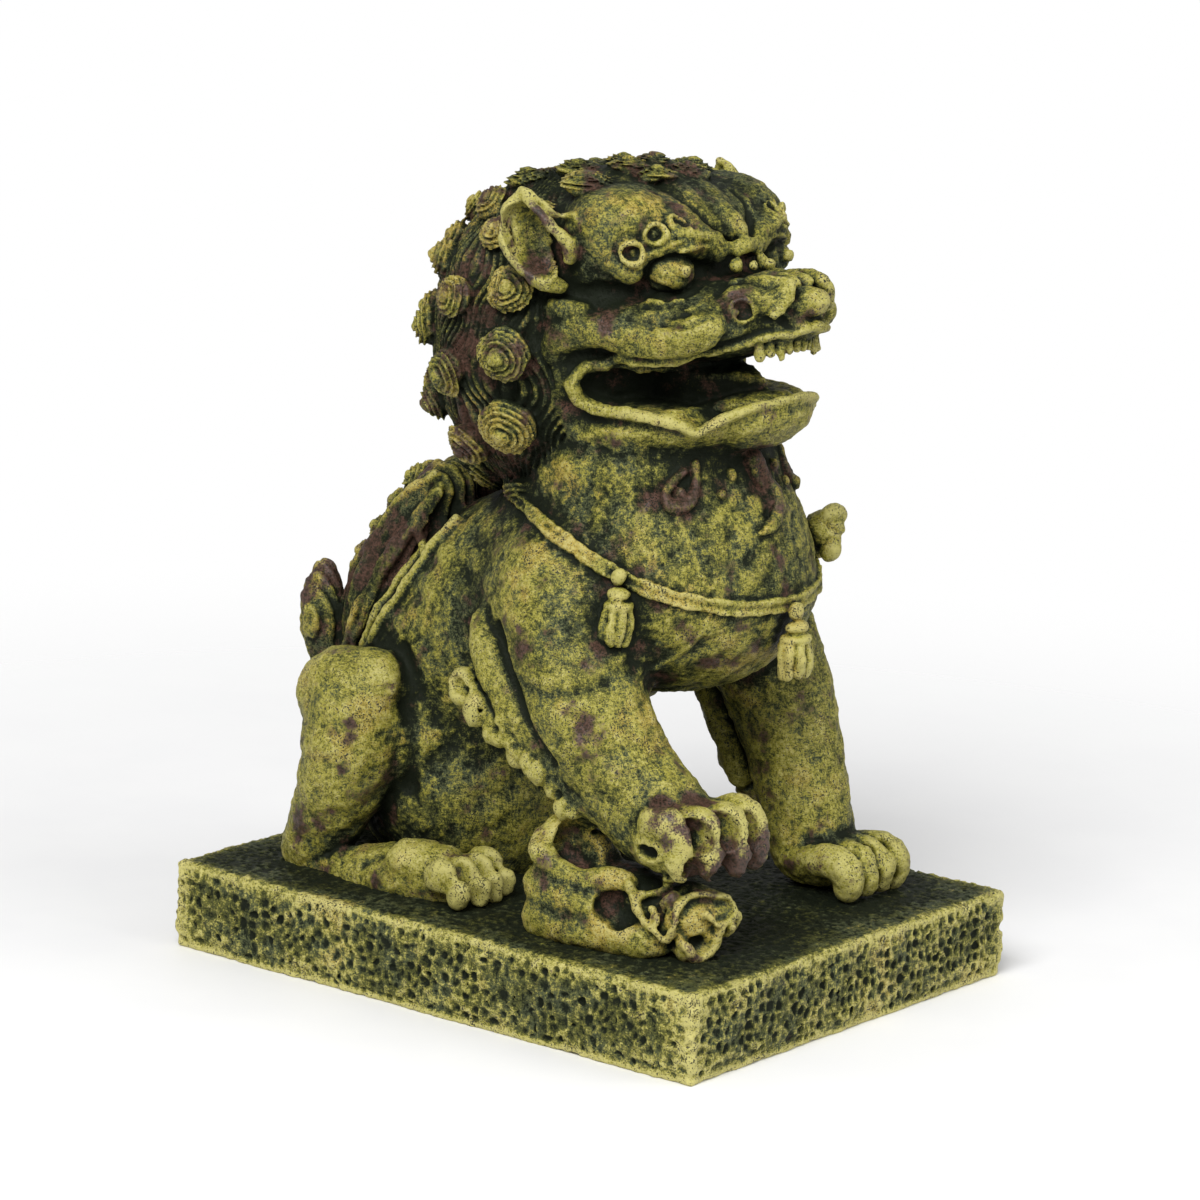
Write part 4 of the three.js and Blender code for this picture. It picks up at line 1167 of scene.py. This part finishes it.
class Paint:
    """A material made of nodes, in sculpting units"""

    def __init__(self, name):
        self.material = bpy.data.materials.new(name)
        self.material.use_nodes = True
        self.tree = self.material.node_tree
        self.tree.nodes.clear()
        place = self.node("ShaderNodeTexCoord").outputs["Object"]
        self.place = self.node("ShaderNodeVectorMath", {0: place, 3: 1 / UNIT}, operation="SCALE").outputs[0]

    def node(self, kind, inputs=None, **settings):
        node = self.tree.nodes.new(kind)
        for key, value in settings.items():
            setattr(node, key, value)
        for key, value in (inputs or {}).items():
            if isinstance(value, bpy.types.NodeSocket):
                self.tree.links.new(value, node.inputs[key])
            else:
                node.inputs[key].default_value = value
        return node

    def lesser(self, a, b):
        return self.node("ShaderNodeMath", {0: a, 1: b}, operation="MINIMUM").outputs[0]

    def total(self, *terms):
        """Sum of value and weight pairs"""
        result = 0.0
        for value, weight in terms:
            result = self.node("ShaderNodeMath", {0: value, 1: weight, 2: result},
                               operation="MULTIPLY_ADD").outputs[0]
        return result

    def ramp(self, value, start, stop, low=0.0, high=1.0):
        """A smooth step of a value between two marks"""
        return self.node("ShaderNodeMapRange", {0: value, 1: start, 2: stop, 3: low, 4: high},
                         interpolation_type="SMOOTHSTEP").outputs[0]

    def noise(self, size, detail=3.0, rough=0.55, stretch=(1, 1, 1), shift=0.0):
        """Cloudy noise about 0.5, with patches of about the given size"""
        where = self.node("ShaderNodeMapping", {0: self.place, 1: (shift, shift, shift), 3: stretch})
        return self.node("ShaderNodeTexNoise", {"Vector": where.outputs[0], "Scale": 1 / size,
                                                "Detail": detail, "Roughness": rough}).outputs["Fac"]

    def tone(self, name):
        return self.node("ShaderNodeAttribute", attribute_name=name).outputs["Fac"]

    def mix(self, factor, a, b):
        a, b = (value if isinstance(value, bpy.types.NodeSocket) else (*value, 1.0) for value in (a, b))
        return self.node("ShaderNodeMix", {0: factor, 6: a, 7: b}, data_type="RGBA").outputs[2]

    def finish(self, colour, roughness, height, depth, specular=0.5):
        """Joins the looks to the surface; the height is the fine relief and the depth its scale"""
        bump = self.node("ShaderNodeBump", {"Height": height, "Distance": depth * UNIT, "Strength": 1.0})
        shader = self.node("ShaderNodeBsdfPrincipled", {
            "Base Color": colour, "Roughness": roughness, "Normal": bump.outputs[0],
            "Specular IOR Level": specular})
        output = self.node("ShaderNodeOutputMaterial", {0: shader.outputs[0]})
        output.is_active_output = True
        return self.material


def paint(name, warm=0.0, bright=0.0, bare=0.0, pale=0.0, darker=(0.0, 1.0, 0.0), noisy=1.0):
    """Layers of paint over the casting: wash in the folds, deepened to painted shade in the hollows, moss, citron dry
    brush and bare patches
    """
    coat = colours()
    p = Paint(name)
    pore, fold, shade = p.tone("pore"), p.tone("fold"), p.tone("shade")
    cloud, patch = p.noise(14, 2.0), p.noise(4.2, 4.0, 0.62, shift=20)
    brush = p.total((p.noise(0.62, 3.0, 0.75, (1.7, 0.8, 0.5), shift=5), 0.5),
                    (p.noise(0.62, 3.0, 0.75, (0.5, 0.8, 1.7), shift=15), 0.5))
    grain = p.noise(0.3, 2.0, 0.7, shift=9)
    # Ridges stand a little over the flat and hollows far under it, so the hollows take the wash as painted shade
    relief = p.total((pore, -4.6), (fold, -2.7), (shade, -2.4), (1.0, 4.85))
    relief = p.lesser(relief, p.total((relief, 0.5), (1.0, 0.1)))
    # Level that picks the coat: over 0.5 on ridges and under it in hollows, where it paints shade with the wash colour
    height = p.total((relief, 1.0), (cloud, 1.0), (patch, 1.4), (brush, 3.4 * noisy), (grain, 2.0 * noisy),
                     (1.0, 0.34 - 1.2 - 2.7 * noisy + bright))
    # Darker above a given height: from, to and how much
    start, stop, less = darker
    level = p.node("ShaderNodeSeparateXYZ", {0: p.place}).outputs[2]
    height = p.total((height, 1.0), (p.ramp(level, start, stop), -less))
    moss = p.mix(p.ramp(p.noise(6, 3.0, shift=31), 0.4, 0.62), coat.moss, coat.sage)
    # Low places get the wash colour: the real dark wash, and painted shade in the hollows
    colour = p.mix(p.ramp(height, -0.15, 0.34), coat.wash_and_shade, moss)
    gold = p.ramp(p.total((cloud, 0.8), (patch, 0.7), (1.0, warm)), 0.78, 0.98)
    yellow = p.mix(gold, coat.citron, coat.ochre)
    colour = p.mix(p.ramp(height, 0.36, 0.74), colour, yellow)
    colour = p.mix(p.ramp(height, 0.74 - pale, 1.2 - pale, high=0.6 + pale), colour, coat.cream)
    worn = p.total((p.noise(5.5, 3.0, 0.6, shift=47), 1.0), (brush, 0.4), (grain, 0.25),
                   (p.tone("bare"), 1.0), (1.0, bare - 0.2))
    bald = p.ramp(worn, 0.72, 0.86)
    earth = p.mix(p.ramp(p.total((brush, 1.0), (patch, 0.4)), 0.55, 0.8, low=0.2), coat.wash_and_shade, coat.earth)
    colour = p.mix(bald, colour, earth)
    speck = p.ramp(p.total((grain, 1.0), (patch, 0.4)), 0.78, 0.84)
    colour = p.mix(speck, colour, coat.wash_and_shade)
    roughness = p.total((brush, 0.3), (bald, -0.1), (1.0, 0.34))
    strokes = p.total((grain, 0.6), (brush, 0.8), (speck, -0.6), (bald, -0.5))
    return p.finish(colour, roughness, strokes, 0.2, specular=p.ramp(height, 0.1, 1.1, low=0.06, high=0.4))


FLOOR_RADIUS = 0.4  # metres; the floor's edge fades into the white room


def floor_paint():
    p = Paint("floor")
    spots = p.noise(30, 3.0)
    colour = p.mix(p.ramp(spots, 0.3, 0.7), (0.9, 0.9, 0.905), (0.92, 0.92, 0.92))
    p.finish(colour, p.total((spots, 0.1), (1.0, 0.5)), spots, 0.01)
    # The floor fades out towards its edge
    output = p.tree.nodes["Material Output"]
    shader = output.inputs[0].links[0].from_socket
    away = p.node("ShaderNodeVectorMath", {0: p.place}, operation="LENGTH").outputs["Value"]
    fade = p.ramp(away, 0.16 * FLOOR_RADIUS / UNIT, 0.8 * FLOOR_RADIUS / UNIT)
    clear = p.node("ShaderNodeBsdfTransparent").outputs[0]
    faded = p.node("ShaderNodeMixShader", {0: fade, 1: shader, 2: clear}).outputs[0]
    p.tree.links.new(faded, output.inputs[0])
    return p.material


STYLES = {
    "plinth_finish": dict(bright=-0.2, bare=-0.1, pale=0.22, darker=(TOP - 0.9, TOP - 0.3, 0.3), noisy=0.8),
    "mane_finish": dict(bare=0.1, bright=-0.46, warm=0.12),
    "ribbon_finish": dict(warm=0.08, bright=-0.02, bare=-0.04),
    "eye_finish": dict(warm=0.05, bright=-0.22),
    "cub_finish": dict(warm=0.12, bright=-0.14, bare=0.06),
    "body_finish": dict(bare=0.03, darker=(90, 104, 0.36)),
}
FINISHES = {}


def finish_of(slot):
    """The material of a slot, made once"""
    if slot not in FINISHES:
        FINISHES[slot] = paint(slot, **STYLES[slot])
    return FINISHES[slot]


# ---------------------------------------------------------------------------
# Objects

def mesh_object(name, vertices, faces, tones, material):
    """A smooth mesh object from arrays in sculpting units"""
    faces = keep_large(faces, len(vertices))
    used, place = np.unique(faces, return_inverse=True)
    faces = place.reshape(faces.shape)
    if not len(faces):
        raise RuntimeError(f"piece {name} has no surface")
    mesh = bpy.data.meshes.new(name)
    mesh.vertices.add(len(used))
    mesh.vertices.foreach_set("co", (vertices[used] * UNIT).astype(np.float32).ravel())
    mesh.loops.add(faces.size)
    mesh.loops.foreach_set("vertex_index", faces.astype(np.int32).ravel())
    mesh.polygons.add(len(faces))
    mesh.polygons.foreach_set("loop_start", np.arange(0, faces.size, faces.shape[1], dtype=np.int32))
    mesh.update(calc_edges=True)
    mesh.polygons.foreach_set("use_smooth", np.ones(len(faces), bool))
    for tone, values in tones.items():
        layer = mesh.attributes.new(tone, "FLOAT", "POINT")
        layer.data.foreach_set("value", values[used].astype(np.float32))
    mesh.validate()
    mesh.materials.append(material)
    obj = bpy.data.objects.new(name, mesh)
    bpy.context.scene.collection.objects.link(obj)
    return obj


def place_piece(name, nodes, slot):
    """Meshes one sculpted piece and ties it to the frame"""
    clay = plinth_clay() if name == "plinth" else sculpture()
    vertices, faces, tones = clay.mesh(name)
    obj = mesh_object(f"lion_{name}", vertices, faces, tones, finish_of(slot))
    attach(obj, BODY)
    if nodes:
        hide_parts(*nodes)


class Sculpts:
    """Shared by the operators: meshes each piece in the list of piece, CAD nodes and slot"""
    pieces = ()

    def execute(self, context):
        for name, nodes, slot in self.pieces:
            place_piece(name, nodes, slot)
        return {"FINISHED"}


def cast(slot, *names):
    """Pieces that each replace the CAD node of the same name"""
    return [(name, (name,), slot) for name in names]


def detail(slot, *names):
    """Pieces too fine to have a CAD node of their own"""
    return [(name, (), slot) for name in names]


def sides(name):
    return f"{name}_right", f"{name}_left"


def numbered(name, count):
    return [f"{name}_{number:02d}" for number in range(1, count + 1)]


class LION_OT_plinth(Sculpts, bpy.types.Operator):
    """Sculpts the hammered plinth"""
    bl_idname = "lion.plinth"
    bl_label = "Plinth"
    pieces = cast("plinth_finish", "plinth")


class LION_OT_torso(Sculpts, bpy.types.Operator):
    """Sculpts the chest, neck and belly"""
    bl_idname = "lion.torso"
    bl_label = "Torso"
    pieces = cast("body_finish", "torso")


class LION_OT_back(Sculpts, bpy.types.Operator):
    """Sculpts the ridge of curls and the locks down the back, and the tail"""
    bl_idname = "lion.back"
    bl_label = "Back and tail"
    pieces = cast("mane_finish", "spine_ridge", "tail", *sides("back_locks"))


class LION_OT_head(Sculpts, bpy.types.Operator):
    """Sculpts the head, its lower jaw, tongue and teeth"""
    bl_idname = "lion.head"
    bl_label = "Head"
    pieces = (cast("body_finish", "head", "lower_jaw") + detail("body_finish", "tongue")
              + cast("body_finish", "upper_teeth"))


class LION_OT_face(Sculpts, bpy.types.Operator):
    """Sculpts the nose, the brows with their beads, the eyes and the plate on the forehead"""
    bl_idname = "lion.face"
    bl_label = "Face"
    pieces = (cast("body_finish", "nose", "forehead_plate") + detail("body_finish", *sides("bead"))
              + cast("body_finish", *sides("brow")) + cast("eye_finish", *sides("eye")))


class LION_OT_ears(Sculpts, bpy.types.Operator):
    """Sculpts the two hollow ears"""
    bl_idname = "lion.ears"
    bl_label = "Ears"
    pieces = cast("body_finish", *sides("ear"))


class LION_OT_mane(Sculpts, bpy.types.Operator):
    """Sculpts the combed mane and its snail curls"""
    bl_idname = "lion.mane"
    bl_label = "Mane"
    large = 2 * len(MANE_CURLS + CROWN_CURLS)
    small = 2 * len(EXTRA_CURLS + EXTRA_CROWN_CURLS)
    pieces = (cast("mane_finish", "mane", *numbered("mane_curl", large))
              + detail("mane_finish", *numbered("mane_curl_small", small)))


class LION_OT_forelegs(Sculpts, bpy.types.Operator):
    """Sculpts the forelegs with their paws and the fringes at the elbows"""
    bl_idname = "lion.forelegs"
    bl_label = "Forelegs"
    pieces = cast("body_finish", *sides("foreleg"), *sides("elbow_fringe"))


class LION_OT_hind_legs(Sculpts, bpy.types.Operator):
    """Sculpts the hind legs and their long paws"""
    bl_idname = "lion.hind_legs"
    bl_label = "Hind legs"
    pieces = cast("body_finish", *sides("hind_leg"), *sides("hind_paw"))


class LION_OT_ribbon(Sculpts, bpy.types.Operator):
    """Sculpts the ribbon with its tassels and its knot"""
    bl_idname = "lion.ribbon"
    bl_label = "Ribbon"
    pieces = cast("ribbon_finish", "ribbon", "tassel_right", "tassel_centre", "knot_left")


class LION_OT_beard(Sculpts, bpy.types.Operator):
    """Sculpts the curls, beads and tuft under the chin"""
    bl_idname = "lion.beard"
    bl_label = "Beard"
    pieces = (cast("mane_finish", *sides("beard_curl"), "beard_tuft")
              + detail("mane_finish", *sides("chin_bead")))


class LION_OT_cub(Sculpts, bpy.types.Operator):
    """Sculpts the cub under the right forepaw"""
    bl_idname = "lion.cub"
    bl_label = "Cub"
    pieces = cast("cub_finish", "cub_body", "cub_head")


class LION_OT_stage(bpy.types.Operator):
    """Builds the floor, the lights and the camera"""
    bl_idname = "lion.stage"
    bl_label = "Stage"

    def execute(self, context):
        context.scene.view_settings.view_transform = "Standard"
        build_floor()
        build_world()
        build_lights()
        build_camera()
        return {"FINISHED"}


# ---------------------------------------------------------------------------
# The stage

ROOM_LIGHT = 0.42  # of the room's white, as far as it lights the lion
# Soft square lights: place and size in metres, power in watts
LIGHTS = {
    "key": ((-0.75, -0.25, 0.85), 0.6, 12.5),
    "fill": ((0.25, -0.9, 0.55), 0.7, 4.0),
}
LIGHTS_AIM = (0, 0, 0.06)
CAMERA_TURN = -52.32  # degrees round from straight in front, towards the lion's right
CAMERA_RISE = 12.41
CAMERA_ROLL = 2.296
CAMERA_AWAY = 834.6
CAMERA_AIM = (-0.3, 0.4, 62.5)
CAMERA_LENS = 150
CAMERA_SENSOR = 36


def build_floor():
    """A round pale floor"""
    count = 96
    angles = [2 * math.pi * k / count for k in range(count)]
    rim = [(FLOOR_RADIUS * math.cos(angle), FLOOR_RADIUS * math.sin(angle), 0) for angle in angles]
    mesh = bpy.data.meshes.new("floor")
    mesh.from_pydata(rim, [], [tuple(range(count))])
    mesh.materials.append(floor_paint())
    floor = bpy.data.objects.new("floor", mesh)
    bpy.context.scene.collection.objects.link(floor)


def build_world():
    """A white room that lights the lion less than it shows"""
    world = bpy.data.worlds.new("studio")
    world.use_nodes = True
    tree = world.node_tree
    background = tree.nodes["Background"]
    background.inputs[0].default_value = (1.0, 1.0, 1.0, 1.0)
    seen = tree.nodes.new("ShaderNodeLightPath").outputs["Is Camera Ray"]
    strength = tree.nodes.new("ShaderNodeMapRange")
    strength.inputs[3].default_value = ROOM_LIGHT
    strength.inputs[4].default_value = 1.0
    tree.links.new(seen, strength.inputs[0])
    tree.links.new(strength.outputs[0], background.inputs[1])
    bpy.context.scene.world = world


def build_lights():
    """One large soft light high on the lion's right and a weak one in front"""
    for name, (place, size, power) in LIGHTS.items():
        light = bpy.data.lights.new(name, "AREA")
        light.shape = "SQUARE"
        light.size = size
        light.energy = power
        obj = bpy.data.objects.new(name, light)
        obj.location = place
        obj.rotation_euler = (Vector(LIGHTS_AIM) - obj.location).to_track_quat("-Z", "Y").to_euler()
        bpy.context.scene.collection.objects.link(obj)


def build_camera():
    turn, rise, roll = (math.radians(a) for a in (CAMERA_TURN, CAMERA_RISE, CAMERA_ROLL))
    back = Vector((math.sin(turn) * math.cos(rise), -math.cos(turn) * math.cos(rise), math.sin(rise)))
    across = Vector((math.cos(turn), math.sin(turn), 0))
    up = back.cross(across)
    across, up = (across * math.cos(roll) + up * math.sin(roll),
                  up * math.cos(roll) - across * math.sin(roll))
    camera = bpy.data.cameras.new("camera")
    camera.lens = CAMERA_LENS
    camera.sensor_width = CAMERA_SENSOR
    camera.clip_start = 0.05
    camera.clip_end = 20
    camera.dof.use_dof = False
    obj = bpy.data.objects.new("camera", camera)
    matrix = Matrix((across, up, back)).transposed().to_4x4()
    matrix.translation = (Vector(CAMERA_AIM) + back * CAMERA_AWAY) * UNIT
    obj.matrix_world = matrix
    bpy.context.scene.collection.objects.link(obj)
    bpy.context.scene.camera = obj


OPERATORS = (LION_OT_plinth, LION_OT_torso, LION_OT_back, LION_OT_head, LION_OT_face, LION_OT_ears,
             LION_OT_mane, LION_OT_forelegs, LION_OT_hind_legs, LION_OT_ribbon, LION_OT_beard, LION_OT_cub,
             LION_OT_stage)


class LION_PT_panel(bpy.types.Panel):
    """Lists the sculpting steps in the sidebar"""
    bl_idname = "LION_PT_panel"
    bl_label = "Guardian lion"
    bl_space_type = "VIEW_3D"
    bl_region_type = "UI"
    bl_category = "Lion"

    def draw(self, context):
        for group in (context.scene.lion_sizes, context.scene.lion_colours):
            for name in group.bl_rna.properties.keys():
                if name not in ("rna_type", "name"):
                    self.layout.prop(group, name)
        for operator in OPERATORS:
            self.layout.operator(operator.bl_idname)


def register():
    for item in (LionSizes, LionColours, *OPERATORS, LION_PT_panel):
        bpy.utils.register_class(item)
    bpy.types.Scene.lion_sizes = bpy.props.PointerProperty(type=LionSizes)
    bpy.types.Scene.lion_colours = bpy.props.PointerProperty(type=LionColours)


def unregister():
    del bpy.types.Scene.lion_colours
    del bpy.types.Scene.lion_sizes
    for item in (LION_PT_panel, *reversed(OPERATORS), LionColours, LionSizes):
        bpy.utils.unregister_class(item)


def main():
    register()
    for operator in OPERATORS:
        group, name = operator.bl_idname.split(".")
        getattr(getattr(bpy.ops, group), name)()


if __name__ == "__main__":
    main()
